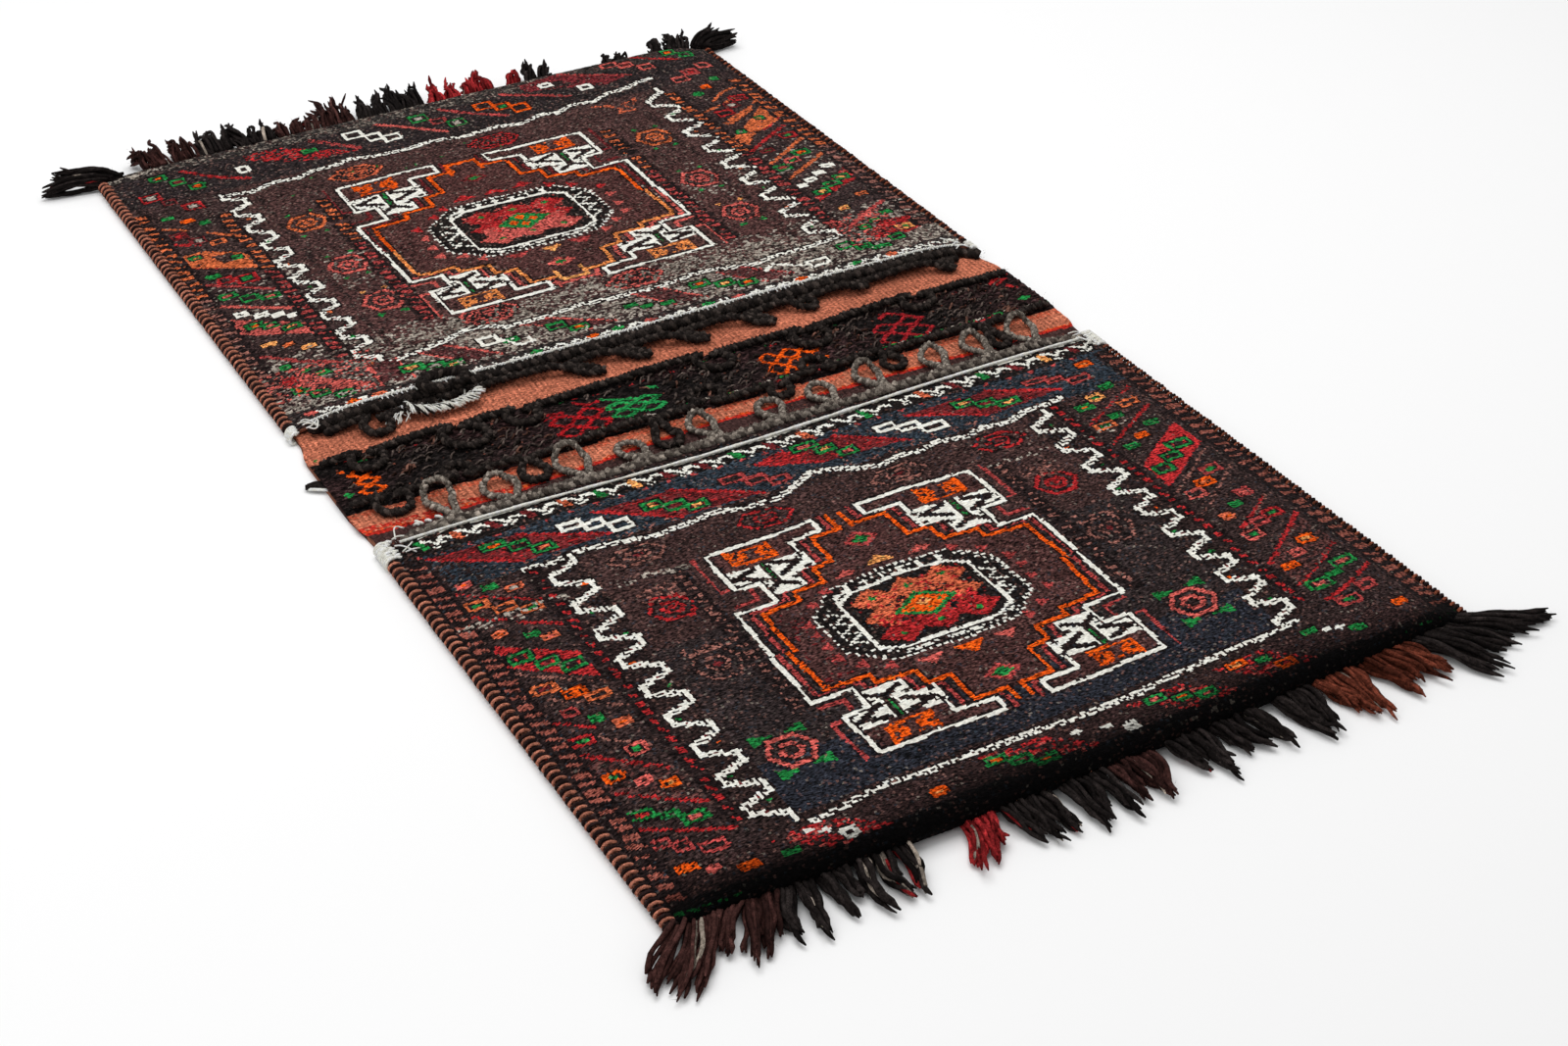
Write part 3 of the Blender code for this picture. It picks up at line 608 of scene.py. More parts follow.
def patterned(pocket, level, face_rows, fold_rows):
    """The knotted surface of one face: its corners, and the plan place in mm of each knot."""
    columns = round(2 * cloth_half / knot)
    x = np.linspace(-cloth_half, cloth_half, columns + 1)
    rows = pocket.surface(x, face_rows, fold_rows)
    places = np.zeros((len(rows) + 1, columns + 1, 3))
    for row, (y, z) in enumerate(rows):
        places[row + 1] = np.stack([x, y + x * 0.0, z + x * 0.0], axis=1)
    places[0] = places[1]
    places[0, :, 2] -= mouth_lip
    middle = cell_middles(places)
    plan_x = (middle[..., 0] + sight_x * (middle[..., 2] - level)) * 1000
    plan_y = (middle[..., 1] + sight_y * (middle[..., 2] - level)) * 1000
    places[:, 0, 2] -= edge_tuck
    places[:, -1, 2] -= edge_tuck
    places[..., 2] = np.maximum(places[..., 2], 0.0004)
    return places, plan_x.reshape(-1), plan_y.reshape(-1)


def finish_face(name, places, weaving, flip):
    """Raise the knots by their pile and give each its colour."""
    rows, columns, _ = places.shape
    random = weaving.random
    uneven_pile = 0.22
    knot_wander = 0.00028
    knots = weaving.lift + random.normal(0, uneven_pile, len(weaving.lift))
    knots = knots.reshape(rows - 1, columns - 1)
    padded = np.pad(knots, 1, mode="edge")
    height = cell_middles(padded)
    normal = np.cross(np.gradient(places, axis=1), np.gradient(places, axis=0))
    normal /= np.maximum(np.linalg.norm(normal, axis=2, keepdims=True), 1e-9)
    if flip:
        normal = -normal
    flat = places + normal * (height / 1000)[..., None]
    inner = np.zeros((rows, columns))
    inner[2:-2, 2:-2] = knot_wander
    flat[..., 0] += random.normal(0, 1.0, (rows, columns)) * inner
    flat[..., 1] += random.normal(0, 1.0, (rows, columns)) * inner
    flat[..., 2] = np.maximum(flat[..., 2], 0.0002)
    piece = grid_piece(name, columns - 1, rows - 1, flat)
    if flip:
        piece.data.flip_normals()
    layer = piece.data.color_attributes.new("yarn", "FLOAT_COLOR", "CORNER")
    values = np.ones((len(weaving.x), 4), dtype=np.float32)
    values[:, :3] = weaving.colour
    # The alpha weighs the shader's painted shade and highlight: full on dark yarn, less on pale yarn
    values[:, 3] = weaving.painted_shade_weight * (1.0 - 0.72 * np.clip((weaving.colour.min(axis=1) - 0.12) / 0.4, 0.0, 1.0))
    layer.data.foreach_set("color", np.repeat(values, 4, axis=0).reshape(-1))
    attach(piece, "root")
    return piece


pile = Recipe("knotted wool")
place = pile.place()
slant = pile.node("ShaderNodeMapping", {},
                  {"Vector": place, "Rotation": (0.0, 0.0, 0.5), "Scale": (0.55, 1.35, 1.0)})
tufts = pile.noise(slant, 620.0, 2.0, 0.55)
fibres = pile.noise(place, 1700.0, 2.0)
patches = pile.noise(place, 75.0, 2.0)
# depth: painted shade in the gaps between tufts and painted highlight on their tops, multiplied into the yarn
# colour
depth = pile.spread(tufts, 0.37, 0.66, 0.06, 1.72) * pile.spread(fibres, 0.3, 0.7, 0.76, 1.28)
depth = depth * pile.spread(patches, 0.3, 0.7, 0.86, 1.14)
pile_material = pile.set(Base_Color=pile.shaded_yarn(depth), Normal=pile.bump(tufts + fibres * 0.3, 0.0016))

# Front face
# Short wool pile: a hooked band under the mouth, a band of slanted fields, side borders
# of slanted stripes, and a stepped medallion inside a white zigzag frame.
places, plan_x, plan_y = patterned(front, 0.014, 236, 20)
face = Weaving(plan_x, plan_y, 11)
face.ground(-400, 400, -700, 0, dark)
border_brown = dye(58, 44, 43)
face.ground(-300, -216, -520, -180, border_brown, 0.6)
face.ground(196, 300, -520, -180, border_brown, 0.6)
face.ground(-190, 176, -302, -186, dye(68, 48, 46))
face.ground(-190, 176, -440, -302, dye(50, 41, 41))
face.ground(-190, 176, -478, -430, dye(40, 42, 50))
face.ground(-300, 300, -180, -132, navy)
face.ground(-300, -250, -180, -128, dark, 0.5)
face.ground(-300, 300, -134, -113, black)
face.ground(-300, 300, -514, -488, dye(54, 38, 37))
# Past the fold's edge the pile is painted near black: painted shade on the fold as it turns down away from
# the light
face.ground(-400, 400, -700, -512, dye(18, 14, 15))


def hook_band(weaving, line, first, pitch, count, depth, colours):
    """White hooks that hang from the mouth's twined edge, with small slanted fields between."""
    for k in range(count):
        x = first + pitch * k
        y = line(x)
        colour = colours[k % len(colours)]
        if colour is not None:
            weaving.field([(x - 4.5, y - depth * 0.25), (x + 1.5, y - depth * 0.25),
                           (x + 5.5, y - depth * 0.88), (x - 1.0, y - depth * 0.88)], colour, 0.2)
        x += pitch * 0.32
        weaving.thread([(x - 7, y - 4.5), (x - 1, y - 7.5), (x + 3, y - 12.0), (x + 7, y - 6.5),
                        (x + 12, y - 7.0), (x + 16, y - 10.5)], 2.5, white, 0.35)
        weaving.thread([(x - 2, y - 13.5), (x + 3, y - 16.5), (x + 8, y - 12.5)], 1.8, white, 0.3, 0.55)


def front_edge(x):
    return -113.5 - 4.0 * math.cos(x / 190.0) ** 2 - 1.5 * math.cos(x / 60.0 + 0.8)


hook_band(face, front_edge, -276.0, 26.9, 21, 17.0, [
    green, salmon, dark_red, dark_red, salmon, green, pale_orange, dark_red, dark_red, green, dark_red,
    salmon, None, green, None, salmon, dark_red, green, dark_red, pale_orange, dark_red])
# A white line painted on the pile under the ivory mouth yarn, so that the yarn's shaded sides and gaps read
# white: painted light
face.thread([(x, front_edge(x) + 0.4) for x in range(-284, 285, 8)], 2.2, white, 0.3)
for k in range(29):
    face.lozenge(-283 + 19.2 * k, -135.5, 6.0, 4.0, rose_red, 0.1, 0.9)
for k in range(24):
    x = -236 + 17.8 * k
    for dx, dy in ((-3, 0), (3, 0), (0, -2.5), (0, 2.5)):
        face.lozenge(x + dx, -177 + 2.5 * math.sin(k) + dy, 3.2, 2.6, pink_brown, 0.1, 0.8)

# Slanted red fields of the top band, each between two red lines
for left_top, right_top, right_low, left_low in (
        ((-278, -138), (-214, -141), (-156, -172), (-222, -172)),
        ((-156, -144), (-96, -145), (-40, -178), (-104, -178)),
        ((-28, -146), (38, -140), (84, -172), (18, -166)),
        ((100, -143), (172, -142), (222, -167), (154, -171))):
    face.field([left_top, right_top, right_low, left_low], dark_red, 0.06)
    face.field([left_top, right_top, right_low, left_low], red, 0.06, 0.14)
    face.thread([left_top, left_low], 3.0, red, 0.15)
    face.thread([right_top, right_low], 3.0, red, 0.15)
face.field([(-30, -146), (0, -136), (4, -150), (-10, -158)], red, 0.0, 0.7)
face.boxes([
    (-233, -146, 17, 8, green, orange), (-218, -154, 15, 10, green, dark),
    (-204, -164, 16, 10, green, salmon), (-176, -150, 17, 9, white, dark), (-161, -157, 16, 9, white, navy),
    (-145, -167, 16, 12, white, navy), (-115, -155, 14, 10, green, pale_orange),
    (-101, -163, 16, 10, green, dark_red), (-88, -170, 16, 9, green, pale_orange),
    (-51, -153, 18, 9, rose_red, dark), (-37, -161, 16, 10, rose_red, dark),
    (-23, -169, 15, 9, rose_red, navy), (13, -141, 20, 9, green, rose),
    (25, -151, 15, 8, green, pale_orange), (38, -162, 14, 9, green, rose), (78, -149, 17, 9, white, navy),
    (94, -156, 18, 10, white, dark), (110, -165, 20, 10, white, dark),
    (147, -149, 17, 9, green, pale_orange), (162, -156, 16, 9, green, dark_red),
    (178, -162, 19, 8, green, pale_orange), (212, -148, 19, 7, rose_red, dark),
    (226, -153, 14, 7, rose_red, dark), (243, -161, 19, 9, rose_red, dark),
    (258, -146, 13, 7, orange, pale_orange)])

# The frame: wavy white lines above and below, zigzags at the sides
face.twist([(-226, -181), (-206, -184), (-190, -180), (-174, -181), (-150, -186), (-133, -190),
            (-112, -187), (-82, -183), (-62, -190), (-36, -189), (-18, -182), (0, -173), (14, -176),
            (32, -184), (48, -190), (66, -186), (80, -189), (100, -183), (122, -188), (140, -184),
            (160, -186), (182, -178), (198, -180), (215, -177)], 5.0, white, dark, 4.2)
face.teeth(-193, -214, [-201 + 15.5 - 17.3 * k + 0.06 * k * k for k in range(19)], 8.0, 3.1, white, dark)
face.teeth(193, 174, [-188 - 15.6 * k + 0.03 * k * k for k in range(20)], 7.5, 3.1, white, dark)
face.twist([(-186, -487), (-160, -485), (-130, -482), (-100, -484), (-60, -485), (-30, -484), (0, -487),
            (30, -484), (52, -485), (80, -482), (110, -480), (150, -480), (186, -476)], 4.2, white, dark,
           4.0)
for k in range(9):
    face.lozenge(-203 + 5 * (-1) ** k, -216 - 30.5 * k, 4.2, 3.4, green if k % 3 else orange, 0.15)
    face.lozenge(182 + 4 * (-1) ** k, -205 - 30.5 * k, 4.2, 3.4, orange if k % 3 == 1 else green, 0.15)

# Figures between the frame and the medallion
for x, y, colour in ((-153, -204, pink_brown), (-54, -206, red), (53, -206, pink_brown), (140, -204, red)):
    face.hexagon(x, y, 44, 18, colour, dark_red)
for side, x in ((-1, -160), (1, 144)):
    face.hexagon(x, -267, 33, 24, red, red, 3.0, 0.95)
    face.hexagon(x - 1, -332, 33, 30, pink_brown, dark_red, 2.6, 0.55)
    face.thread([(x - 15, -308), (x - 15, -318), (x, -312), (x + 15, -318), (x + 15, -308)], 3.0,
                pink_brown, 0.1, 0.5)
    face.ground(x - 16, x + 16, -258, -241, pink_brown, 0.35)
    face.hexagon(x - 3, -427, 33, 26, rose, dark, 3.4, 0.95)
    for dx, dy in ((-13, 17), (13, 17), (-13, -17), (13, -17)):
        wing = [(x - 3 + dx - 9 * math.copysign(1, dx), -427 + dy),
                (x - 3 + dx + 6 * math.copysign(1, dx), -427 + dy + 5),
                (x - 3 + dx + 6 * math.copysign(1, dx), -427 + dy - 5)]
        face.field(wing, green, 0.15)
for x in (-139, 119):
    face.marks(x, -232, -400, 7.6, 7, pink_brown, 0.6)
face.ground(-150, -128, -232, -228, grey, 0.5)
face.ground(-180, -140, -232, -226, bone, 0.35)
face.ground(112, 170, -231, -226, bone, 0.35)

# The medallion
face.field([(-42, -243), (22, -243), (22, -270), (37, -270), (37, -288), (62, -288), (62, -298), (94, -298),
            (94, -387), (62, -387), (62, -401), (36, -401), (36, -417), (18, -417), (18, -443), (-44, -443),
            (-44, -417), (-62, -417), (-62, -401), (-89, -401), (-89, -388), (-117, -388), (-115, -301),
            (-83, -301), (-83, -290), (-58, -290), (-58, -273), (-41, -273)], brown)
face.ground(-112, -92, -384, -306, dark_red, 0.12)
face.corner(-29, -114, -226, -293, -128, -344, orange, rose_red)
face.corner(8, 98, -224, -292, 108, -344, orange, rose_red)
face.corner(-29, -118, -457, -395, -130, -344, orange, rose_red)
face.corner(5, 95, -457, -395, 108, -344, orange, rose_red)
for x in (-17, -7):
    face.thread([(x, -226), (x, -242)], 4.0, orange, 0.2)
    face.thread([(x, -443), (x, -453)], 4.0, orange, 0.2)
face.octagon(-13, -343, -65, 38, -376, -308, salmon, red)
for x, y, width, height, colour in (
        (-41, -291, 19, 6, rose), (-12, -290, 23, 9, pale_orange), (18, -291, 21, 7, rose),
        (-42, -392, 19, -8, rose), (-13, -391, 27, -11, orange), (16, -392, 20, -8, rose)):
    face.field([(x - width / 2, y), (x, y + height), (x + width / 2, y)], colour, 0.2)
for x, y in ((-65, -299), (39, -299), (-80, -309), (55, -309), (-84, -378), (-69, -387), (41, -386),
             (56, -378), (-94, -326), (-95, -338), (-96, -352), (-95, -365), (68, -325), (69, -337),
             (67, -351), (70, -365)):
    toward = 1 if x < -13 else -1
    face.field([(x - 4.5 * toward, y), (x + 4 * toward, y + 4.5), (x + 4 * toward, y - 4.5)], rose_red, 0.15)
for y in (-260, -427):
    face.lozenge(-11, y, 28, 19, rose_red, 0.1)
    face.lozenge(-11, y, 17, 10, green, 0.15)

# Side borders: slanted stripes with three hooked boxes in each
for points, width in (
    (((-279, -184), (-228, -217)), 3), (((-279, -212), (-258, -225)), 3), (((-253, -232), (-230, -247)), 3),
    (((-279, -337), (-258, -352)), 3), (((-280, -370), (-236, -407)), 4), (((-278, -412), (-230, -443)), 3),
    (((-282, -448), (-228, -470)), 3), (((212, -218), (269, -189)), 3), (((212, -247), (268, -217)), 3),
    (((222, -376), (262, -354)), 3), (((212, -418), (268, -380)), 4), (((213, -446), (266, -420)), 3),
    (((218, -468), (270, -450)), 3)):
    face.thread(list(points), width, red, 0.15, 0.9)
for points in (((-281, -278), (-231, -315)), ((-270, -315), (-230, -342)), ((-268, -355), (-232, -384)),
               ((212, -320), (268, -284)), ((210, -350), (268, -312)), ((224, -378), (266, -352))):
    face.thread(list(points), 2.4, pink_brown, 0.1, 0.6)
stripe_brown = dye(92, 60, 57)
stripe_red = dye(188, 46, 48)
low_brown = dye(96, 58, 55)
face.ground(-281, -230, -228, -190, stripe_brown, 0.4)
face.ground(212, 268, -216, -180, stripe_brown, 0.4)
face.field([(-281, -244), (-230, -281), (-230, -309), (-281, -271)], stripe_red, 0.1)
face.field([(269, -246), (269, -277), (211, -312), (211, -281)], stripe_red, 0.1)
face.field([(-281, -372), (-232, -408), (-232, -440), (-281, -412)], low_brown, 0.0, 0.5)
face.field([(268, -382), (212, -418), (212, -446), (268, -420)], low_brown, 0.0, 0.5)
face.boxes([
    (-268, -178, 10, 6, rose, orange), (-254, -187, 10, 6, green, green), (-239, -195, 11, 7, salmon, bone),
    (-269, -202, 16, 9, rust, green), (-253, -212, 15, 9, rust, dark), (-239, -222, 15, 9, rust, green),
    (-268, -237, 10, 6, salmon, orange), (-251, -248, 10, 6, green, green),
    (-241, -256, 11, 6, salmon, rose), (-268, -266, 16, 11, green, dark),
    (-254, -279, 15, 9, green, dark_red), (-240, -289, 16, 10, green, dark),
    (-268, -303, 17, 10, rust, dark_red), (-253, -315, 15, 9, orange, orange),
    (-241, -324, 16, 8, rust, dark), (-265, -332, 10, 8, rose_red, dark), (-253, -344, 9, 7, green, green),
    (-239, -355, 11, 7, salmon, orange), (-271, -360, 15, 9, red, green), (-244, -382, 13, 11, rose, green),
    (-269, -399, 13, 9, orange, green), (-255, -410, 9, 7, rose, dark),
    (-242, -419, 11, 7, orange, pale_orange), (-271, -437, 16, 9, green, red),
    (-256, -443, 13, 6, green, dark), (-243, -451, 16, 9, green, rose), (-275, -465, 18, 8, rose_red, dark),
    (-262, -471, 10, 10, rose_red, dark), (-246, -478, 16, 9, rose_red, dark),
    (-269, -489, 13, 6, orange, orange), (-256, -495, 9, 5, rose, green),
    (-236, -502, 12, 6, orange, orange), (254, -180, 12, 7, green, green),
    (237, -189, 13, 8, pale_orange, green), (222, -197, 13, 7, green, orange),
    (255, -207, 17, 9, rust, dark), (236, -217, 11, 7, green, green), (221, -224, 17, 9, rust, green),
    (254, -238, 12, 6, green, green), (237, -249, 11, 6, orange, orange), (222, -256, 11, 6, green, green),
    (253, -271, 19, 10, green, dark), (238, -281, 15, 9, green, dark), (222, -291, 15, 11, green, dark),
    (252, -308, 17, 9, rose_red, green), (237, -319, 15, 9, orange, rust), (222, -328, 15, 10, rose, dark),
    (252, -342, 13, 9, rose_red, rose), (237, -351, 9, 6, green, green), (222, -360, 10, 7, salmon, orange),
    (252, -372, 17, 9, red, green), (237, -376, 14, 9, rose_red, dark), (223, -386, 14, 11, rose, green),
    (252, -407, 14, 9, orange, pale_orange), (236, -417, 10, 7, rose, dark),
    (222, -426, 12, 6, orange, orange), (256, -439, 20, 9, green, rose), (241, -446, 12, 5, green, dark),
    (225, -451, 19, 10, green, rose), (231, -474, 17, 9, rose_red, green),
    (252, -466, 14, 9, rose_red, dark), (259, -492, 11, 6, orange, orange)])
for x, colour in ((-288, dye(150, 82, 70)), (281, dye(140, 80, 68))):
    face.ground(x - 8, x + 8, -520, -136, outline)
    face.marks(x + 1, -146, -518, 9.2, 11, colour, 0.97)
face.marks(-222, -188, -474, 9.6, 5, red, 0.9)
face.marks(202, -186, -468, 9.2, 5, red, 0.9)
for share, y in ((0.30, -221), (0.16, -226)):
    face.ground(-300, -212, y - 3, y + 3, bone, share)
    face.ground(198, 246, y - 9, y - 4, bone, share * 0.8)

# Bottom band, almost lost in the painted shade of the fold
for left, right in ((-218, -150), (-72, -2), (34, 104), (104, 168)):
    face.field([(left, -490), (left + 44, -490), (right + 6, -514), (right - 34, -514)], red, 0.0, 0.5)
    face.field([(left, -490), (left + 44, -490), (right + 6, -514), (right - 34, -514)], rose, 0.0, 0.12)
face.boxes([
    (-62, -496, 14, 7, green, orange), (-48, -502, 14, 7, green, dark_red),
    (-34, -509, 15, 7, green, orange), (56, -495, 14, 7, green, rose), (72, -501, 13, 6, green, orange),
    (88, -506, 14, 7, green, rose), (-106, -503, 10, 7, orange, pale_orange),
    (122, -494, 14, 7, orange, pale_orange), (152, -507, 13, 8, orange, red),
    (-210, -504, 10, 5, green, green), (141, -498, 10, 5, green, rose), (186, -489, 11, 5, green, green),
    (217, -500, 11, 5, green, green), (-172, -506, 9, 9, white, dark), (28, -508, 8, 7, white, dark)])
for x, y in ((-192, -493), (-183, -497), (-6, -498), (14, -501), (198, -493), (206, -495)):
    face.lozenge(x, y, 10, 4.5, white, 0.2)
for x in (66, 82, 96):
    face.lozenge(x, -522, 7, 8, grey, 0.2, 0.8)
for x in range(-294, -250, 9):
    face.thread([(x, -521), (x + 5, -522.5)], 2.0, green, 0.2)
for x in range(222, 296, 9):
    face.thread([(x, -520), (x + 5, -520)], 1.8, green, 0.2, 0.6)
face.shade(0.30, ((dye(126, 90, 82), 0.10), (black, 0.20), (navy, 0.06), (grey, 0.03)))
fold_shadow = smooth((face.plain_y + 488 + 4 * np.sin(face.plain_x / 31.0)) / -30.0)[:, None]
face.colour *= 1.0 - 0.86 * fold_shadow
front_face = finish_face("front_face", places, face, flip=False)
front_face.data.materials.append(pile_material)

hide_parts("woven_cloth")
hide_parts("woven_cloth")

# Rear face
# The same kilim pile on the other pocket, with stripes of orange and rose in its borders.
# Near the mouth its ground fades to grey.
places, plan_x, plan_y = patterned(rear, 0.013, 262, 18)
face = Weaving(plan_x, plan_y, 23)
rear_brown = dye(76, 52, 50)
face.ground(-400, 400, 0, 700, dye(62, 46, 45))
face.ground(-205, 190, 300, 445, rear_brown, 0.85)
face.ground(-205, 190, 128, 300, dye(82, 54, 52), 0.85)
face.ground(-300, 300, 448, 512, dye(44, 37, 38))
face.ground(-300, -235, 60, 440, dye(56, 42, 41), 0.7)
face.ground(215, 300, 60, 460, dye(54, 42, 42), 0.7)
for share, low, high in ((0.10, 230, 300), (0.22, 140, 160), (0.45, 124, 146), (0.62, 80, 124)):
    face.ground(-300, 300, low, high, grey, share)
    face.ground(-300, 300, low, high, bone, share * 0.42)
face.ground(-300, 300, 60, 80, dye(52, 46, 45), 0.8)
face.ground(-300, 300, 502, 700, dye(54, 50, 48), 0.85)
face.ground(-300, 150, 504, 700, grey, 0.25)

# Frame
face.twist([(-219, 432), (-206, 436), (-192, 433), (-170, 440), (-151, 436), (-134, 444), (-112, 444),
            (-97, 448), (-70, 443), (-45, 443), (-17, 447), (12, 444), (43, 447), (63, 443), (89, 451),
            (103, 445), (119, 454), (143, 451), (161, 460), (180, 461), (195, 468), (211, 471)], 5.2, white,
           dark, 4.2)
face.twist([(-201, 112), (-173, 117), (-149, 122), (-129, 130), (-113, 128), (-101, 120), (-65, 118),
            (-33, 122), (-9, 118), (23, 116), (55, 120), (79, 123), (119, 114), (143, 118), (175, 118),
            (205, 120)], 4.8, white, dark, 4.4)
face.teeth(-217, -202, [434 - 16.6 * k for k in range(20)], 9.0, 3.3, white, dark)
face.teeth(205, 185, [444] + [437 - 17.3 * k for k in range(1, 19)], 9.0, 3.1, white, dark)
for k in range(8):
    face.lozenge(-210, 386 - 45 * k, 4.4, 3.6, green if k % 2 else rust, 0.15)
    face.lozenge(193, 392 - 41 * k, 4.4, 3.6, rust if k % 2 else green, 0.15)

# Figures between the frame and the medallion
for x, y, width, height, colour in (
    (-102, 421, 48, 21, salmon), (30, 423, 48, 21, red), (-103, 145, 50, 25, rose),
    (23, 138, 48, 24, rose)):
    face.hexagon(x, y, width, height, colour, dark_red, 3.0, 0.85)
    face.hexagon(x, y, width * 0.72, height * 0.66, colour, colour, 2.2, 0.65)
face.thread([(135, 440), (148, 436), (156, 424), (150, 417), (166, 418), (162, 432), (178, 438),
             (172, 428)], 3.0, salmon, 0.1, 0.7)
for x, y, colour in ((-171, 356, rust), (156, 358, rust), (-168, 272, rose), (154, 270, rose),
                     (-167, 202, rose), (155, 200, rose)):
    face.hexagon(x, y, 33, 27, colour, colour, 3.2, 0.9)
    for side in (-10, 10):
        wing = green if y > 230 else pale_orange
        face.lozenge(x + side, y + 20, 5.5, 4.5, wing, 0.15)
        face.lozenge(x + side, y - 21, 9.0 if y < 230 else 5.5, 6.0 if y < 230 else 4.5, green, 0.15)
for start, end, colour in ((388, 300, rust), (300, 152, rose_red)):
    for x in (-146, 123):
        face.marks(x, start, end, 9.0, 9, colour, 0.85)
for x, low, high in ((-190, 128, 424), (172, 128, 444)):
    face.ground(x - 2.5, x + 2.5, low, high, dark, 0.4)
for k in range(34):
    x = -178 + 10.4 * k + 3.0 * math.sin(k * 2.3)
    y = 139 + 7.0 * math.sin(k * 1.7)
    face.thread([(x - 3, y - 6), (x + 1, y + 3), (x + 4, y - 2)], 2.4, grey, 0.1, 0.8)
for k in range(60):
    x, y = face.random.uniform(-195, 178), face.random.uniform(404, 434)
    face.lozenge(x, y, 3.5, 3.0, green if k % 7 == 0 else dark, 0.1)

# The medallion
face.field([(-32, 399), (2, 399), (2, 380), (22, 380), (22, 353), (39, 353), (39, 337), (65, 337),
            (65, 325), (100, 325), (98, 224), (70, 224), (70, 213), (43, 212), (43, 200), (19, 199),
            (19, 178), (-6, 178), (-6, 160), (-29, 160), (-29, 178), (-48, 180), (-48, 203), (-71, 203),
            (-71, 214), (-98, 215), (-98, 226), (-121, 226), (-123, 323), (-93, 323), (-93, 336),
            (-66, 337), (-66, 352), (-48, 353), (-48, 379), (-32, 379)], dye(80, 50, 48))
face.corner(-39, -128, 402, 328, -137, 272, orange, dark_red)
face.corner(10, 101, 402, 330, 114, 272, orange, dark_red)
apricot = dye(238, 140, 76)
face.corner(-40, -127, 157, 219, -135, 272, apricot, rose)
face.corner(9, 104, 157, 216, 115, 272, apricot, rose)
face.thread([(-30, 380), (-29, 397), (-2, 397), (-2, 380)], 4.2, orange, 0.2)
face.thread([(-28, 180), (-27, 165), (-6, 165), (-5, 180)], 3.6, pale_orange, 0.2)
face.thread([(-36, 163), (-34, 159), (0, 160), (3, 166)], 3.0, rose, 0.1)
face.octagon(-13, 272, -66, 40, 236, 310, red, rose)
face.lozenge(-13, 272, 46, 28, green, 0.2)
for dx, dy in ((0, 7), (0, -6), (-9, 0), (9, 0)):
    face.lozenge(-13 + dx, 272 + dy, 10, 8, orange, 0.25)
for x, y, width, height, colour in (
        (-41, 330, 23, 8, red), (-13, 330, 23, 8, red), (15, 331, 22, 8, red),
        (-41, 223, 23, -9, rose_red), (-13, 220, 19, -9, pale_orange), (14, 222, 23, -9, rose_red)):
    face.field([(x - width / 2, y), (x, y + height), (x + width / 2, y)], colour, 0.2)
for x, y in ((-66, 323), (37, 322), (-78, 313), (54, 312), (-82, 239), (-70, 228), (42, 226), (57, 236),
             (-98, 298), (-98, 281), (-98, 264), (-98, 248), (73, 298), (74, 280), (73, 262), (72, 246)):
    toward = 1 if x < -13 else -1
    tone = red if y > 290 else rose
    face.field([(x - 5 * toward, y), (x + 4.5 * toward, y + 5), (x + 4.5 * toward, y - 5)], tone, 0.15)
for y in (364, 193):
    face.lozenge(-16, y, 26, 15, dark_red if y > 300 else rose, 0.1)
    face.lozenge(-16, y, 12, 6, green, 0.15)

# Left border: stripes that slant down to the right
for points, colour, width in (
    (((-233, 498), (-212, 476), (-186, 458)), red, 4), (((-248, 380), (-233, 366)), rust, 4),
    (((-280, 402), (-262, 390)), rust, 3), (((-281, 372), (-262, 362)), red, 4),
    (((-282, 296), (-258, 280), (-234, 262)), rose_red, 4),
    (((-283, 258), (-256, 240), (-230, 225)), rose, 4),
    (((-283, 172), (-256, 146), (-230, 130)), rose_red, 4), (((-284, 330), (-258, 316)), red, 3)):
    face.thread(list(points), width, colour, 0.15, 0.9)
face.field([(-282, 350), (-262, 350), (-234, 330), (-233, 303), (-248, 308), (-281, 328)], rust, 0.1, 0.95)
face.field([(-262, 338), (-244, 336), (-242, 322), (-256, 322)], dye(60, 44, 42), 0.0)
face.field([(-284, 234), (-233, 200), (-233, 180), (-284, 208)], rose, 0.15, 0.95)
face.field([(-284, 132), (-262, 128), (-222, 92), (-214, 80), (-240, 84), (-284, 118)], rose, 0.1, 0.7)
face.field([(-283, 128), (-268, 128), (-268, 112), (-283, 116)], red, 0.15, 0.8)
face.boxes([
    (-254, 494, 13, 11, green, orange), (-241, 479, 13, 11, green, dark_red),
    (-228, 465, 13, 11, green, orange), (-271, 462, 17, 14, red, bone), (-258, 447, 12, 10, dark_red, dark),
    (-243, 431, 15, 13, red, bone), (-270, 419, 9, 6, green, green), (-257, 407, 10, 6, orange, orange),
    (-245, 398, 8, 6, green, green), (-273, 384, 14, 11, dark_red, red),
    (-260, 370, 14, 11, dark_red, bone), (-246, 360, 12, 9, rust, dark), (-273, 343, 10, 6, green, rust),
    (-243, 327, 9, 7, green, dark), (-272, 306, 11, 7, green, green), (-265, 296, 13, 11, red, dark),
    (-248, 290, 17, 14, red, green), (-272, 270, 15, 9, green, rose), (-258, 259, 14, 11, green, dark),
    (-243, 254, 15, 8, green, rose), (-273, 237, 10, 7, white, dark), (-259, 229, 10, 7, white, grey),
    (-247, 223, 8, 6, white, dark), (-237, 216, 8, 5, white, dark), (-270, 216, 14, 8, green, orange),
    (-258, 210, 12, 8, green, rose), (-244, 199, 14, 9, green, pale_orange),
    (-269, 183, 11, 5, pale_orange, orange), (-256, 174, 8, 5, rust, orange),
    (-243, 163, 11, 6, pale_orange, bone), (-270, 144, 8, 7, green, green), (-258, 133, 7, 5, green, green),
    (-246, 123, 10, 6, green, grey), (-272, 107, 12, 9, green, orange), (-260, 96, 13, 9, green, dark),
    (-244, 87, 14, 8, green, bone)])

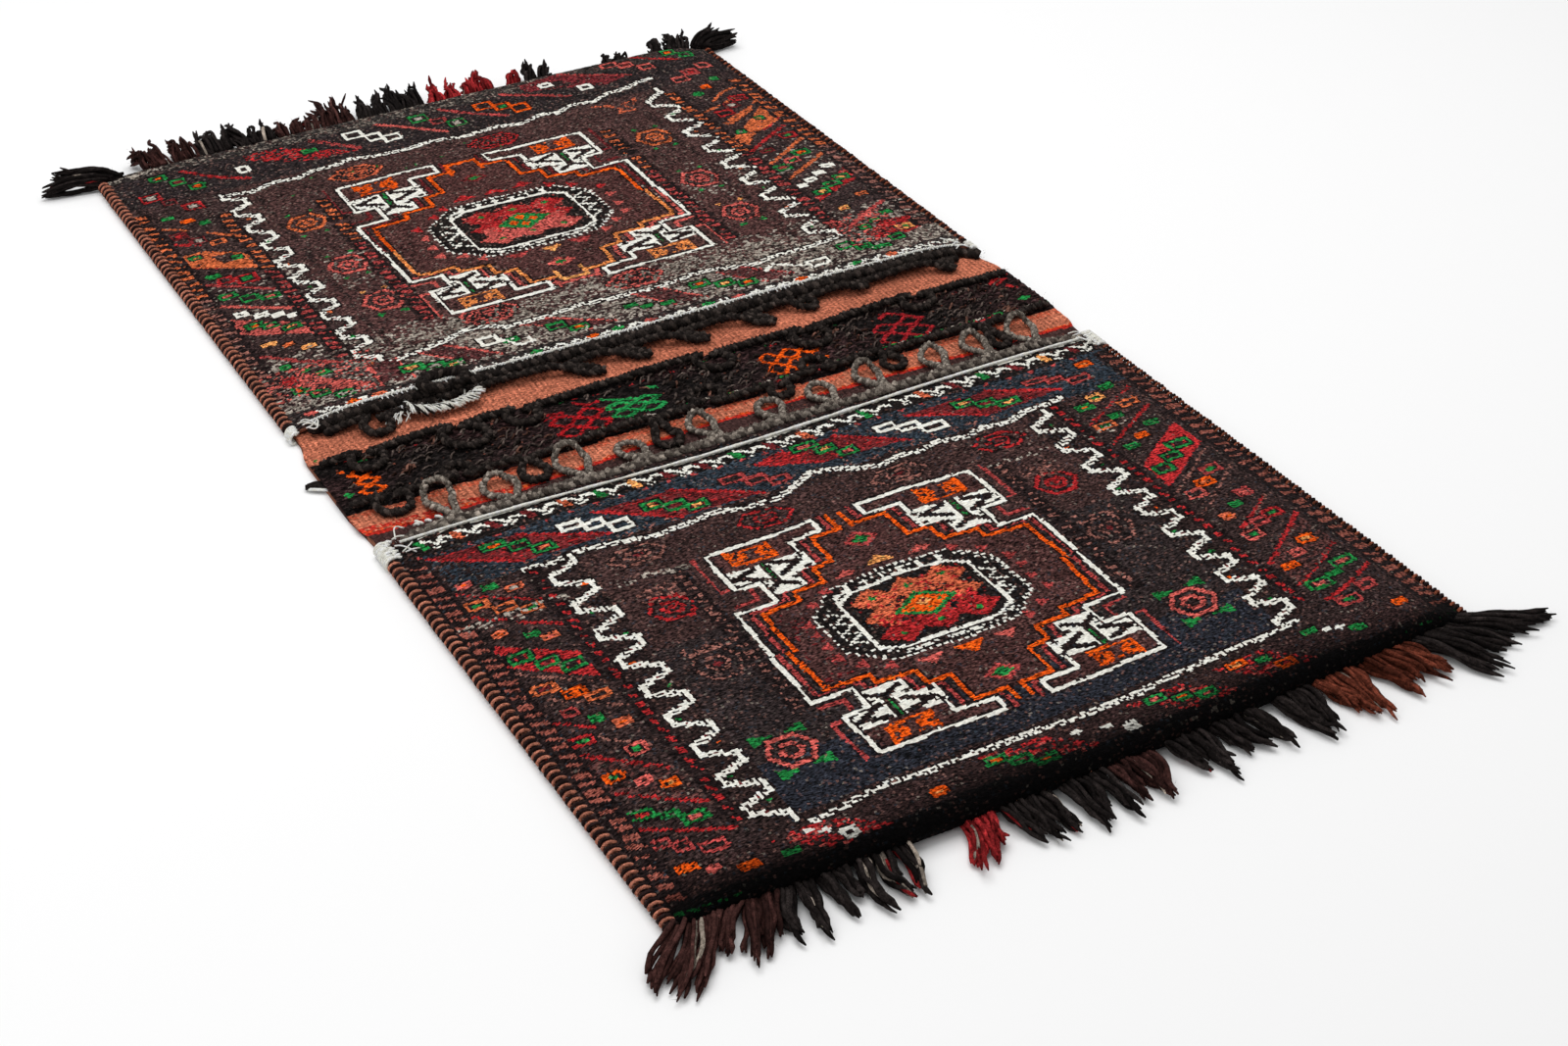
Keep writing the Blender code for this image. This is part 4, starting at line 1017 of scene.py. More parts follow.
# Right border: stripes that slant up to the right
for points, colour, width in (
        (((213, 524), (232, 510), (255, 496)), red, 4), (((213, 292), (240, 308), (270, 328)), red, 4),
        (((221, 265), (246, 281), (270, 297)), rust, 4), (((221, 232), (246, 246), (272, 262)), rust, 4),
        (((222, 131), (247, 145), (272, 160)), rose_red, 4), (((221, 383), (250, 394), (270, 402)), rust, 3),
        (((238, 400), (256, 414), (274, 420)), rust, 3), (((252, 366), (276, 386)), rust, 3),
        (((250, 326), (274, 344)), red, 3)):
    face.thread(list(points), width, colour, 0.15, 0.9)
face.field([(213, 330), (232, 336), (250, 352), (272, 373), (272, 340), (236, 322), (222, 306), (213, 310)],
           rust, 0.1, 0.95)
face.field([(222, 356), (262, 376), (262, 368), (226, 348)], rust, 0.1, 0.9)
face.field([(222, 190), (272, 229), (272, 205), (222, 182)], red, 0.15, 0.85)
face.field([(222, 190), (272, 229), (272, 220), (222, 186)], rose, 0.15, 0.5)
face.field([(226, 112), (250, 128), (276, 124), (276, 104), (250, 98), (230, 102)], red, 0.1, 0.75)
face.boxes([
    (253, 515, 14, 11, green, orange), (267, 505, 13, 11, green, dark), (191, 514, 16, 11, rose, dark),
    (205, 508, 14, 11, rose, dark_red), (221, 496, 14, 12, rose, dark), (269, 477, 12, 12, rose, dark),
    (251, 466, 14, 12, rose_red, red), (235, 455, 15, 11, rose, dark), (264, 444, 8, 7, green, green),
    (248, 431, 9, 7, orange, rust), (234, 420, 8, 7, green, green), (263, 397, 16, 11, red, dark_red),
    (249, 386, 14, 11, dark_red, bone), (235, 374, 16, 12, red, dark), (258, 351, 9, 6, green, rust),
    (229, 333, 9, 7, green, grey), (262, 308, 16, 11, red, green), (230, 289, 12, 7, dark_red, green),
    (255, 272, 16, 10, green, orange), (240, 262, 14, 10, rose, green), (226, 253, 15, 10, green, rose_red),
    (262, 238, 10, 7, white, dark), (248, 229, 9, 6, white, dark), (235, 221, 10, 7, white, dark),
    (224, 215, 7, 5, white, dark), (261, 213, 15, 9, green, pale_orange), (247, 205, 15, 9, green, dark),
    (232, 196, 14, 9, green, pale_orange), (261, 178, 10, 6, rust, dark), (234, 161, 9, 6, pale_orange, rust),
    (261, 139, 9, 6, green, green), (244, 131, 9, 6, green, grey), (231, 124, 10, 7, green, dark),
    (262, 110, 15, 8, pale_orange, green), (246, 98, 13, 9, green, dark), (200, 104, 16, 10, green, grey),
    (213, 95, 14, 9, green, green), (226, 89, 16, 6, green, green)])
for x in (-291, 281):
    face.marks(x, 432, 270, 10.4, 11, rust, 0.8)
    face.marks(x, 270, 96, 10.4, 11, pink_brown, 0.8)
for x, start, end in ((-226, 402, 130), (211, 430, 126)):
    face.marks(x, start, 290, 9.4, 9, rust, 0.85)
    face.marks(x, 290, end, 9.4, 9, rose_red, 0.85)
face.ground(-300, -205, 96, 140, rose, 0.22)
face.ground(205, 260, 96, 150, rose, 0.20)

# Band along the fold
face.field([(-176, 500), (-140, 500), (-98, 470), (-80, 462), (-120, 462), (-150, 474), (-176, 490)], red,
           0.0, 0.55)
face.thread([(-112, 500), (-96, 482), (-80, 466)], 6.0, rose_red, 0.1, 0.7)
face.thread([(-49, 502), (-28, 484), (1, 460)], 4.2, rose, 0.15, 0.95)
face.thread([(13, 504), (36, 482), (61, 465)], 4.4, rose_red, 0.15, 0.95)
face.thread([(74, 507), (100, 490), (129, 472)], 4.4, rose_red, 0.15, 0.9)
face.field([(94, 516), (134, 520), (199, 488), (170, 478), (128, 492), (96, 500)], dye(116, 42, 46), 0.05,
           0.9)
face.field([(112, 502), (130, 508), (146, 496), (126, 488)], dark, 0.0, 0.8)
face.thread([(140, 520), (170, 502), (198, 486)], 3.6, rose_red, 0.15, 0.8)
face.boxes([
    (-185, 476, 10, 11, white, dark), (-121, 482, 13, 7, green, green), (-75, 492, 17, 15, white, dark),
    (-60, 480, 15, 14, white, dark), (-46, 471, 16, 13, white, dark), (-11, 495, 17, 14, green, bone),
    (3, 483, 14, 11, rose_red, dark), (16, 472, 17, 14, green, bone), (51, 492, 17, 14, orange, dark),
    (65, 484, 15, 13, orange, green), (78, 474, 16, 16, orange, dark), (118, 504, 11, 9, white, dark),
    (149, 483, 12, 11, white, dark)])
face.thread([(-292, 508), (-262, 510), (-246, 514)], 5.0, bone, 0.2, 0.6)

# Band above the mouth, where grey wool runs through the dark
for left, right, colour in ((-88, -18, rose), (84, 138, rose_red), (-214, -190, rose), (-176, -120, rose),
                            (10, 60, rose)):
    face.field([(left, 116), (left + 22, 116), (right, 84), (right - 26, 84)], dye(88, 48, 48), 0.04, 0.85)
    face.thread([(left + 22, 116), (right, 84)], 2.4, colour, 0.15, 0.85)
    face.thread([(left, 116), (right - 26, 84)], 2.4, colour, 0.15, 0.85)
face.boxes([
    (-187, 97, 17, 10, green, pale_orange), (-171, 92, 15, 9, green, bone),
    (-157, 88, 15, 8, green, pale_orange), (-121, 106, 16, 12, white, grey),
    (-65, 101, 15, 10, green, dark), (-50, 91, 16, 8, green, orange), (1, 100, 10, 5, green, green),
    (12, 94, 9, 5, green, green), (28, 91, 10, 5, green, rose), (63, 106, 17, 10, green, orange),
    (82, 98, 15, 10, green, pale_orange), (98, 91, 15, 9, green, orange), (165, 92, 20, 11, white, grey),
    (-105, 100, 12, 6, green, white)])
face.thread([(-112, 104), (-104, 92), (-98, 88), (-90, 90), (-92, 96)], 3.4, white, 0.2, 0.9)
face.thread([(120, 100), (130, 106), (142, 98), (152, 92)], 3.4, white, 0.2, 0.8)
for k in range(170):
    x = -298 + 596 * k / 170
    face.thread([(x, 82), (x + 4, 88 + 2 * math.sin(k))], 1.8, bone if k % 3 else dark, 0.15, 0.45)


def rear_edge(x):
    return 66.0 + 0.8 * math.sin(x / 90.0)


for k in range(44):
    x = -272 + 13.2 * k
    y = rear_edge(x)
    face.thread([(x - 5, y + 3.5), (x - 1, y + 9.5), (x + 5, y + 4.0), (x + 9, y + 9.0)], 2.0, white, 0.3,
                0.8)
for x, colour in ((-277, rose), (-243, orange), (-222, salmon), (-97, green), (-47, orange), (-25, green),
                  (3, rose), (55, green), (82, rose), (138, orange), (191, green), (226, salmon)):
    face.lozenge(x, rear_edge(x) + 7.5, 13, 7, colour, 0.25)
face.shade(0.30, ((dye(130, 98, 90), 0.12), (black, 0.18), (grey, 0.05)))
rear_face = finish_face("rear_face", places, face, flip=True)
rear_face.data.materials.append(pile_material)
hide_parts("woven_cloth")

# Bridge
# The strip between the pockets: salmon plain weave, a raised band of black brocade with
# small nets of orange, red and green, a red line and a dark brown stripe.
brocade_start = -0.052
brocade_end = 0.020
brocade_slope = 0.004


def brocade_rise(y):
    """How far the brocade band has risen at y, from 0 to 1."""
    return np.minimum(smooth((y - brocade_start) / brocade_slope), smooth((brocade_end - y) / brocade_slope))


columns = 420
rows = 122
under_mouth = 0.0015
x = np.linspace(-1.0, 1.0, columns + 1)
y = np.linspace(front_mouth - under_mouth, rear_mouth + under_mouth, rows + 1)
places = np.zeros((rows + 1, columns + 1, 3))
places[..., 0] = x[None, :] * (half_width(y) + 0.0004)[:, None]
places[..., 1] = y[:, None]
places[..., 2] = (back_thickness + brocade_relief * brocade_rise(y) * 0.8)[:, None]
middle = cell_middles(places) * 1000
face = Weaving(middle[..., 0].reshape(-1), middle[..., 1].reshape(-1), 37)
face.x = face.plain_x + 0.4 * np.sin(face.plain_y / 9.0)
face.y = face.plain_y + 1.0 * np.sin(face.plain_x / 47.0) + 0.5 * np.sin(face.plain_x / 11.0)
cloth_salmon = dye(188, 110, 84)
face.ground(-400, 400, -200, 200, cloth_salmon)
face.ground(-400, 400, -58, -50, dye(196, 92, 66), 0.6)
face.ground(-400, -150, -81.0, -70, dye(170, 46, 36), 0.6)
face.ground(-400, -90, -79.0, -74, dye(182, 54, 38), 0.7)
stripe = [(-400, -80), (-180, -79), (-100, -74), (-40, -69), (40, -69), (110, -73), (200, -78), (400, -80)]
face.field([(-400, -200)] + stripe + [(400, -200)], dye(66, 45, 43))
face.thread(stripe, 3.4, dye(184, 44, 34))
face.thread([(x, y + 2.4) for x, y in stripe], 2.0, dye(214, 78, 34), 0.0, 0.55)
# Painted highlight and shade on the plain weave: its ribs and light spots lighter, the hollows between them
# darker, with random tone as well
ribs = 1.12 + 0.26 * np.sin(face.plain_x * math.tau / 4.2 + 0.6 * np.sin(face.plain_y / 5.0))
ribs = ribs + 0.05 * np.sin(face.plain_x / 37.0 + face.plain_y / 8.0) + face.random.normal(0, 0.24, len(ribs))
face.colour *= np.clip(ribs, 0.45, 1.9)[:, None]
band = face.within(-400, 400, -51, 20)
across_x, along_y = face.plain_x[band], face.plain_y[band]
wander = 2.2 * np.sin(across_x / 17.0 + np.sin(along_y / 7.0)) + 1.4 * np.sin(across_x / 6.1 + along_y / 5.0)
floats = 0.5 + 0.5 * np.sin((along_y + wander) * math.tau / 6.4)
strokes = 0.5 + 0.5 * np.sin(across_x / 1.5 + 4.0 * floats + 2.0 * np.sin(along_y / 3.3 + across_x / 13.0))
patches = 0.5 + 0.5 * np.sin(across_x / 33.0 + 1.6 * np.sin(along_y / 13.0))
warm_black = np.array(dye(66, 46, 46)[:3])
cool_black = np.array(dye(38, 33, 32)[:3])
dark_mix = warm_black * patches[:, None] + cool_black * (1 - patches[:, None])
# The raised floats and strokes are painted lighter and the gaps between them darker: painted highlight and
# shade, over the mix of warm and cool black
face.colour[band] = dark_mix * (0.14 + 1.25 * strokes * (0.35 + 0.65 * floats))[:, None]
face.lift[band] = 0.15 + 1.2 * strokes * floats + 0.5 * floats * patches


def net(weaving, left, right, low, high, columns, rows, colour, share=1.0):
    """A net of crossing brocade threads."""
    for column in range(columns):
        for row in range(rows):
            x0 = left + (right - left) * column / columns
            x1 = left + (right - left) * (column + 1) / columns
            y0 = low + (high - low) * row / rows
            y1 = low + (high - low) * (row + 1) / rows
            middle = (x0 + x1) / 2
            mesh = [(x0, (y0 + y1) / 2), (middle - 2, y1 - 1), (middle + 2, y1 - 1), (x1, (y0 + y1) / 2),
                    (middle + 2, y0 + 1), (middle - 2, y0 + 1), (x0, (y0 + y1) / 2)]
            weaving.thread(mesh, 3.2, colour, 1.1, share)


net_green = dye(36, 140, 72)
net_red = dye(160, 34, 40)
net(face, -281, -263, -36, -1, 1, 3, orange)
face.lozenge(-284, 0, 7, 4, orange, 1.0)
net(face, -127, -84, -39, -8, 2, 2, dye(172, 28, 34))
for points in (((-126, 0), (-118, -4)), ((-98, 3), (-92, -5), (-82, -4)), ((-127, -8), (-112, -4))):
    face.thread(list(points), 3.2, dye(150, 26, 32), 1.0)
net(face, -82, -38, -34, -12, 2, 2, net_green)
for points in (((-79, -3), (-66, -10), (-56, -12)), ((-42, -2), (-34, -6))):
    face.thread(list(points), 3.2, net_green, 1.0)
net(face, 52, 104, -18, -3, 3, 1, orange)
net(face, 52, 84, -36, -18, 2, 1, orange)
face.thread([(78, -19), (92, -22), (101, -28), (97, -33)], 3.4, orange, 1.1)
face.thread([(97, -1), (94, -6)], 3.4, rust, 1.1)
net(face, 150, 198, -22, -8, 2, 1, net_red)
net(face, 150, 198, -40, -22, 2, 1, net_red)
face.thread([(168, 0), (176, 4), (186, -4), (190, -8)], 3.4, net_red, 1.1)
for points in (((276, 4), (284, 10), (291, 6), (280, 2)), ((286, -4), (291, -10)), ((292, 18), (296, 12))):
    face.thread(list(points), 3.8, red, 1.0)
for x0, y0, width in ((-290, -30, 8), (287, -27, 14), (295, -41, 12), (256, -40, 6), (285, -43, 6),
                      (-293, 26, 2)):
    face.lozenge(x0, y0, width, 8, green, 0.9)
for k in range(50):
    x0 = -106 + 8.1 * k
    if face.random.random() < 0.8:
        face.thread([(x0, -38.5), (x0 + 5, -39.0)], 1.8, green if k % 3 else bone, 0.8, 0.7)
        face.thread([(x0 + 2, -42.0), (x0 + 6, -41.6)], 2.0, red, 0.8, 0.7)
for k in range(26):
    x0, y0 = face.random.uniform(-280, 280), face.random.uniform(4, 12)
    face.thread([(x0, y0), (x0 + 6, y0 + 1)], 1.6, red if k % 3 else green, 0.8, 0.5)
plain = np.nonzero((face.plain_y < -51) | (face.plain_y > 20))[0]
# The plain weave takes about half of the shader's painted shade and highlight
face.painted_shade_weight[plain] = 0.48
crease = np.sin(face.plain_x[plain] / 37.0 + 1.4 * np.sin(face.plain_y[plain] / 9.0))
face.lift[plain] = 0.60 + 0.10 * np.sin(face.plain_x[plain] * math.tau / 3.9) + 0.20 * crease
# Painted shade and highlight: the ribs and crease lines of the plain weave lighter and darker in turn, while
# crease also raises the pile
rib_light_and_shade = 1.0 + 0.05 * np.sin(face.plain_x[plain] * math.tau / 5.2) + 0.04 * crease
rib_light_and_shade = rib_light_and_shade * (1.0 + 0.07 * np.sin(face.plain_y[plain] / 1.9 + 1.2 * np.sin(face.plain_x[plain] / 61.0)))
face.colour[plain] *= rib_light_and_shade[:, None]
face.shade(0.12, ((dye(150, 84, 66), 0.04), (black, 0.006)))
bridge = finish_face("bridge_weave", places, face, flip=False)
bridge.data.materials.append(pile_material)
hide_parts("woven_cloth")

# Mouth edges
# One ivory yarn lies along the front mouth, and two twined ones along the rear mouth. Below
# each runs a plaited cord of three strands, whose loops held a rod that shut the pocket.


def rounded(points, step):
    """Even samples along a path that rounds the corners between its points."""
    line = np.array(points, dtype=float)
    for _ in range(3):
        cut = np.empty((2 * len(line) - 2, 3))
        cut[0::2] = line[:-1] * 0.75 + line[1:] * 0.25
        cut[1::2] = line[:-1] * 0.25 + line[1:] * 0.75
        line = np.vstack([line[:1], cut, line[-1:]])
    along = np.concatenate([[0.0], np.cumsum(np.linalg.norm(np.diff(line, axis=0), axis=1))])
    where = np.linspace(0.0, along[-1], max(3, round(along[-1] / step)) + 1)
    return np.stack([np.interp(where, along, line[:, k]) for k in range(3)], axis=1), where


def axes_along(path, across):
    ahead = np.gradient(path, axis=0)
    ahead /= np.maximum(np.linalg.norm(ahead, axis=1, keepdims=True), 1e-9)
    side = np.cross(ahead, across)
    side /= np.maximum(np.linalg.norm(side, axis=1, keepdims=True), 1e-9)
    return side, np.cross(side, ahead)


class Yarns:
    """Many strands of yarn that become one piece."""

    def __init__(self, seed):
        self.random = np.random.default_rng(seed)
        self.points, self.faces, self.colours = [], [], []
        self.count = 0

    def add(self, points, faces, colour):
        self.points.append(points)
        self.faces += faces
        self.colours.append(np.broadcast_to(colour, (len(points), 3)))
        self.count += len(points)

    def strand(self, path, radius, colour, sides=6, across=(0.0, 0.0, 1.0), uneven=0.12):
        """A closed strand along the path. Its thickness and its dye vary a little."""
        side, up = axes_along(path, across)
        length = len(path)
        radius = np.broadcast_to(radius, length) * (1.0 + self.random.normal(0, 0.05, length))
        turn = math.tau * np.arange(sides) / sides
        rings = path[:, None, :] + radius[:, None, None] * (
            np.cos(turn)[None, :, None] * side[:, None, :] + np.sin(turn)[None, :, None] * up[:, None, :])
        first = self.count
        faces = [tuple(range(first, first + sides))]
        for row in range(length - 1):
            low = first + row * sides
            for k in range(sides):
                after = (k + 1) % sides
                faces.append((low + k, low + sides + k, low + sides + after, low + after))
        faces.append(tuple(range(first + length * sides - 1, first + (length - 1) * sides - 1, -1)))
        tone = np.exp(self.random.normal(0, uneven, (length, 1)))
        shades = np.repeat(np.array(colour[:3])[None, :] * tone, sides, axis=0)
        self.add(rings.reshape(-1, 3), faces, shades)

    def drift(self, length, reach):
        """A slow uneven drift along a strand."""
        steps = self.random.normal(0, 1.0, length + 10)
        return reach * np.convolve(steps, np.ones(11) / math.sqrt(11), mode="valid")

    def plait(self, points, radius, pitch, colours, step=0.0012, rough=0.0003):
        """Three strands plaited flat along a path."""
        path, along = rounded(points, step)
        side, up = axes_along(path, (0.0, 0.0, 1.0))
        thick = radius * 0.52
        for k, colour in enumerate(colours):
            phase = math.tau * (along / pitch + k / len(colours))
            centre = path + side * ((radius - thick) * np.sin(phase))[:, None]
            centre = centre + up * (thick * 0.72 * np.sin(2.0 * phase))[:, None]
            centre = centre + side * self.drift(len(path), rough)[:, None]
            centre = centre + up * self.drift(len(path), rough)[:, None]
            # Strong tone variation along each strand: uneven dye and painted highlight flecks together
            self.strand(centre, thick * (1.0 + self.drift(len(path), 0.10)), colour, uneven=0.30)
        return path

    def twine(self, points, radius, pitch, colours, step=0.0010):
        """Two threads twisted round each other."""
        path, along = rounded(points, step)
        side, up = axes_along(path, (0.0, 0.0, 1.0))
        for k, colour in enumerate(colours):
            phase = math.tau * (along / pitch + k / len(colours))
            centre = path + side * (radius * 0.9 * np.cos(phase))[:, None]
            centre = centre + up * (radius * 0.9 * np.sin(phase))[:, None]
            self.strand(centre, radius, colour, sides=5)

    def hairs(self, path, spread, count, length, colour, width=0.00010):
        """Loose fibres that stand off a cord."""
        for _ in range(count):
            start = path[self.random.integers(len(path))] + self.random.normal(0, spread, 3)
            away = self.random.normal(0, 1.0, 3)
            away[2] = abs(away[2]) * 0.7
            away /= np.linalg.norm(away)
            flat = np.cross(away, (0.3, 0.5, 0.8))
            flat /= max(np.linalg.norm(flat), 1e-6)
            other = np.cross(away, flat)
            start[2] = max(start[2], 0.0012)
            tip = start + away * length * self.random.uniform(0.5, 1.3)
            tip[2] = max(tip[2], 0.0006)
            corners = np.array([start + flat * width, start - flat * width * 0.5 + other * width * 0.87,
                                start - flat * width * 0.5 - other * width * 0.87, tip])
            k = self.count
            faces = [(k, k + 2, k + 1), (k, k + 1, k + 3), (k + 1, k + 2, k + 3), (k + 2, k, k + 3)]
            self.add(corners, faces, np.array(colour[:3]) * self.random.uniform(0.6, 1.6))

    def piece(self, name, slot, material, *nodes):
        """The strands as one piece that stands for the named solids."""
        mesh = bpy.data.meshes.new(name)
        points = np.concatenate(self.points)
        points[:, 2] = np.maximum(points[:, 2], 0.0001)
        mesh.from_pydata(points.tolist(), [], self.faces)
        mesh.shade_smooth()
        layer = mesh.color_attributes.new("yarn", "FLOAT_COLOR", "POINT")
        values = np.ones((len(points), 4), dtype=np.float32)
        values[:, :3] = np.clip(np.concatenate(self.colours), 0.0, 0.92)
        # The alpha weighs the shader's painted shade and highlight: full on dark yarn, less on pale yarn
        values[:, 3] = 1.0 - 0.75 * np.clip((values[:, :3].min(axis=1) - 0.2) / 0.3, 0.0, 1.0)
        layer.data.foreach_set("color", values.reshape(-1))
        mesh.materials.append(material)
        item = bpy.data.objects.new(name, mesh)
        bpy.context.scene.collection.objects.link(item)
        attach(item, "root")
        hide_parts(*nodes)
        return item


cord_wool = Recipe("cord wool")
place = cord_wool.place()
fibres = cord_wool.noise(place, 1300.0, 3.0)
clumps = cord_wool.noise(place, 420.0, 2.0)
# depth: painted shade and highlight on the fibres and clumps, multiplied into the strand colour
depth = cord_wool.spread(fibres, 0.3, 0.7, 0.40, 1.60) * cord_wool.spread(clumps, 0.32, 0.68, 0.55, 1.40)
cord_material = cord_wool.set(Base_Color=cord_wool.shaded_yarn(depth),
                              Normal=cord_wool.bump(fibres + clumps * 0.8, 0.0012))

mouth_cord = 0.0040
bridge_cord = 0.0034
leg_gap = 0.0008
crossing_length = 0.014
bridge_front_y = -0.0485
bridge_rear_y = 0.0130
loop_climb = 0.0096
cord_end = bag_width / 2 - 0.025
cord_black = dye(36, 31, 29)
# A lighter black for strands of the black plaits: black wool with a painted highlight in it
cord_highlight_black = dye(64, 56, 52)
# Loose fibres on black cords are lighter than the yarn: painted highlight on the fuzz
black_fluff_highlight = dye(70, 61, 56)
cord_grey = dye(118, 108, 99)
cord_dark_grey = dye(72, 64, 59)
ivory = dye(250, 247, 236)


def back_top(y):
    return back_thickness + brocade_relief * brocade_rise(y)


def loop_plan(centre, width, reach, lean, radius):
    """Plan of an open loop: up one leg, round the head and down the other."""
    head = width / 2 - radius
    foot = radius * 0.2 + leg_gap
    points = [(centre - foot - radius * 2.2, 0.0), (centre - foot, radius * 1.1)]
    for turn in range(-132, 133, 12):
        angle = math.radians(turn)
        along = reach - radius - head + head * math.cos(angle)
        points.append((centre + head * math.sin(angle) + lean * along / reach, along))
    return points + [(centre + foot, radius * 1.1), (centre + foot + radius * 2.2, 0.0)]


def looped_route(start, end, run_y, run_z, loops, radius, rest):
    """A cord's route along X with a loop at each listed place."""
    points = [(start, run_y, run_z(start))]
    for centre, width, reach, lean in loops:
        side = math.copysign(1.0, reach)
        plan = loop_plan(centre, width, abs(reach), lean, radius)
        for number, (x, along) in enumerate(plan):
            y = run_y + side * along
            settle = float(smooth((along - radius) / (3 * radius)))
            crossing = 1 if number < len(plan) / 2 else -0.4
            over = radius * 0.5 * (1.0 - float(smooth(along / crossing_length))) * crossing
            points.append((x, y, run_z(x) + (rest(y) - run_z(x)) * settle + over))
    points.append((end, run_y, run_z(end)))
    return points


# Each loop in metres: centre, outer width, reach, lean of its head
front_loops = (
    (-0.238, 0.0250, 0.0498, 0.001), (-0.194, 0.0300, 0.0432, 0.000), (-0.137, 0.0290, 0.0473, 0.001),
    (-0.089, 0.0244, 0.0390, -0.004), (-0.032, 0.0244, 0.0440, 0.001), (0.020, 0.0254, 0.0400, 0.006),
    (0.066, 0.0254, 0.0415, 0.004), (0.110, 0.0244, 0.0451, 0.003), (0.164, 0.0254, 0.0435, 0.009),
    (0.206, 0.0244, 0.0442, 0.004), (0.248, 0.0284, 0.0460, 0.007))
rear_loops = (
    (-0.238, 0.028, -0.030, 0.000), (-0.088, 0.020, -0.030, 0.022), (-0.042, 0.019, -0.026, 0.020),
    (0.008, 0.019, -0.026, 0.020), (0.068, 0.020, -0.028, 0.018), (0.120, 0.024, -0.024, 0.008),
    (0.172, 0.020, -0.018, 0.008), (0.250, 0.018, -0.024, 0.010))
bridge_front_loops = (
    (-0.267, 0.025, -0.022, 0.000), (-0.212, 0.022, 0.018, 0.000), (-0.164, 0.021, -0.029, 0.000),
    (-0.059, 0.020, -0.037, -0.002), (-0.012, 0.024, 0.024, 0.004), (0.043, 0.018, -0.017, 0.002),
    (0.084, 0.024, 0.020, 0.000), (0.140, 0.018, -0.026, 0.000), (0.230, 0.0155, -0.034, 0.000))
bridge_rear_loops = (
    (-0.262, 0.024, -0.024, 0.000), (-0.190, 0.030, -0.032, 0.004), (-0.140, 0.024, -0.022, 0.000),
    (0.018, 0.026, -0.024, 0.006), (0.104, 0.028, -0.028, 0.000), (0.208, 0.026, -0.022, -0.004))


def front_cord_height(x):
    return float(front.top(x, front_mouth)) - face_thickness / 2


def over_bridge(y):
    over = bridge_front_y - mouth_cord - bridge_cord
    climb = float(smooth((y - over + loop_climb) / (2 * mouth_cord)))
    return back_thickness + clearance + mouth_cord + (brocade_relief + 2 * bridge_cord) * climb


braid = Yarns(41)
run = front_mouth + mouth_cord + 0.0042
leg_radius = 0.0025
cord_pale = dye(158, 148, 137)
route = looped_route(-cord_end, cord_end, run, front_cord_height, front_loops, leg_radius, over_bridge)
path = braid.plait(route, radius=0.0030, pitch=0.0086, colours=(cord_grey, dye(100, 92, 84), cord_pale),
                   step=0.0014, rough=0.0002)
braid.hairs(path, spread=0.0020, count=2600, length=0.0026, colour=cord_pale)
edge_line = [(x, front_mouth + 0.0046 + 0.0006 * math.sin(60 * x), front_cord_height(x) + 0.0014)
             for x in np.linspace(-cord_end - 0.005, cord_end + 0.008, 40)]
path = braid.plait(edge_line, radius=0.0046, pitch=0.0120,
                   colours=(dye(108, 99, 91), cord_dark_grey, dye(138, 128, 118)), step=0.0015,
                   rough=0.0004)
braid.hairs(path, spread=0.0024, count=900, length=0.0030, colour=cord_grey)
edge_line = [(x, y - 0.0052, z - 0.0016) for x, y, z in edge_line]
path = braid.plait(edge_line, radius=0.0020, pitch=0.0080,
                   colours=(cord_dark_grey, cord_highlight_black, cord_highlight_black))
braid.piece("front_mouth_plait", "grey_cord", cord_material, "front_mouth_braid")

mouth_line = Yarns(43)
level = 0.014
line = []
for x in np.linspace(-0.284, 0.282, 90):
    y = front_edge(x * 1000) / 1000 - 0.0002
    height = float(front.top(x, y))
    line.append((x, y - sight_y * (height - level), height + 0.0012))
line_path = rounded(line, 0.0014)[0]
line_radius = 0.00108 * (1.0 + mouth_line.drift(len(line_path), 0.14))
mouth_line.strand(line_path, line_radius, ivory, sides=8, uneven=0.10)
mouth_line.hairs(np.array(line), spread=0.0010, count=300, length=0.0020, colour=ivory)
for k in range(4):
    x = -0.266 + 0.0062 * k + 0.0016 * mouth_line.random.normal()
    stray = [(x, -0.0975, 0.0130), (x - 0.0012, -0.0945, 0.0128),
             (x - 0.0026, -0.0905 + 0.002 * mouth_line.random.normal(), 0.0110)]
    mouth_line.strand(rounded(stray, 0.0012)[0], 0.00105, ivory, sides=5)
mouth_line.piece("front_mouth_twining", "ivory_wool", cord_material)

rear_line = Yarns(47)
line = [(x, rear_mouth + 0.0016 + 0.0008 * math.sin(21 * x), float(rear.top(x, rear_mouth)) + 0.0010)
        for x in np.linspace(-0.284, 0.284, 90)]
rear_line.twine(line, radius=0.00070, pitch=0.0052, colours=(ivory, ivory))
for x in np.arange(-0.280, 0.280, 0.0039):
    height = float(rear.top(x, rear_mouth))
    if rear_line.random.random() < 0.72:
        reach = rear_line.random.uniform(0.002, 0.0052)
        stitch = np.array([(x, rear_mouth + 0.001, height + 0.0010),
                           (x + 0.0006, rear_mouth - 0.0018, height - 0.0002),
                           (x + 0.0014, rear_mouth - 0.0018 - reach * 0.5, height - reach)])
        rear_line.strand(rounded(stitch, 0.001)[0], 0.00065, ivory, sides=4)
rear_line.piece("rear_mouth_twining", "ivory_wool", cord_material)


def rear_cord_height(x):
    return float(rear.top(x, rear_mouth)) - face_thickness / 2


def on_back(y):
    return back_thickness + clearance + mouth_cord


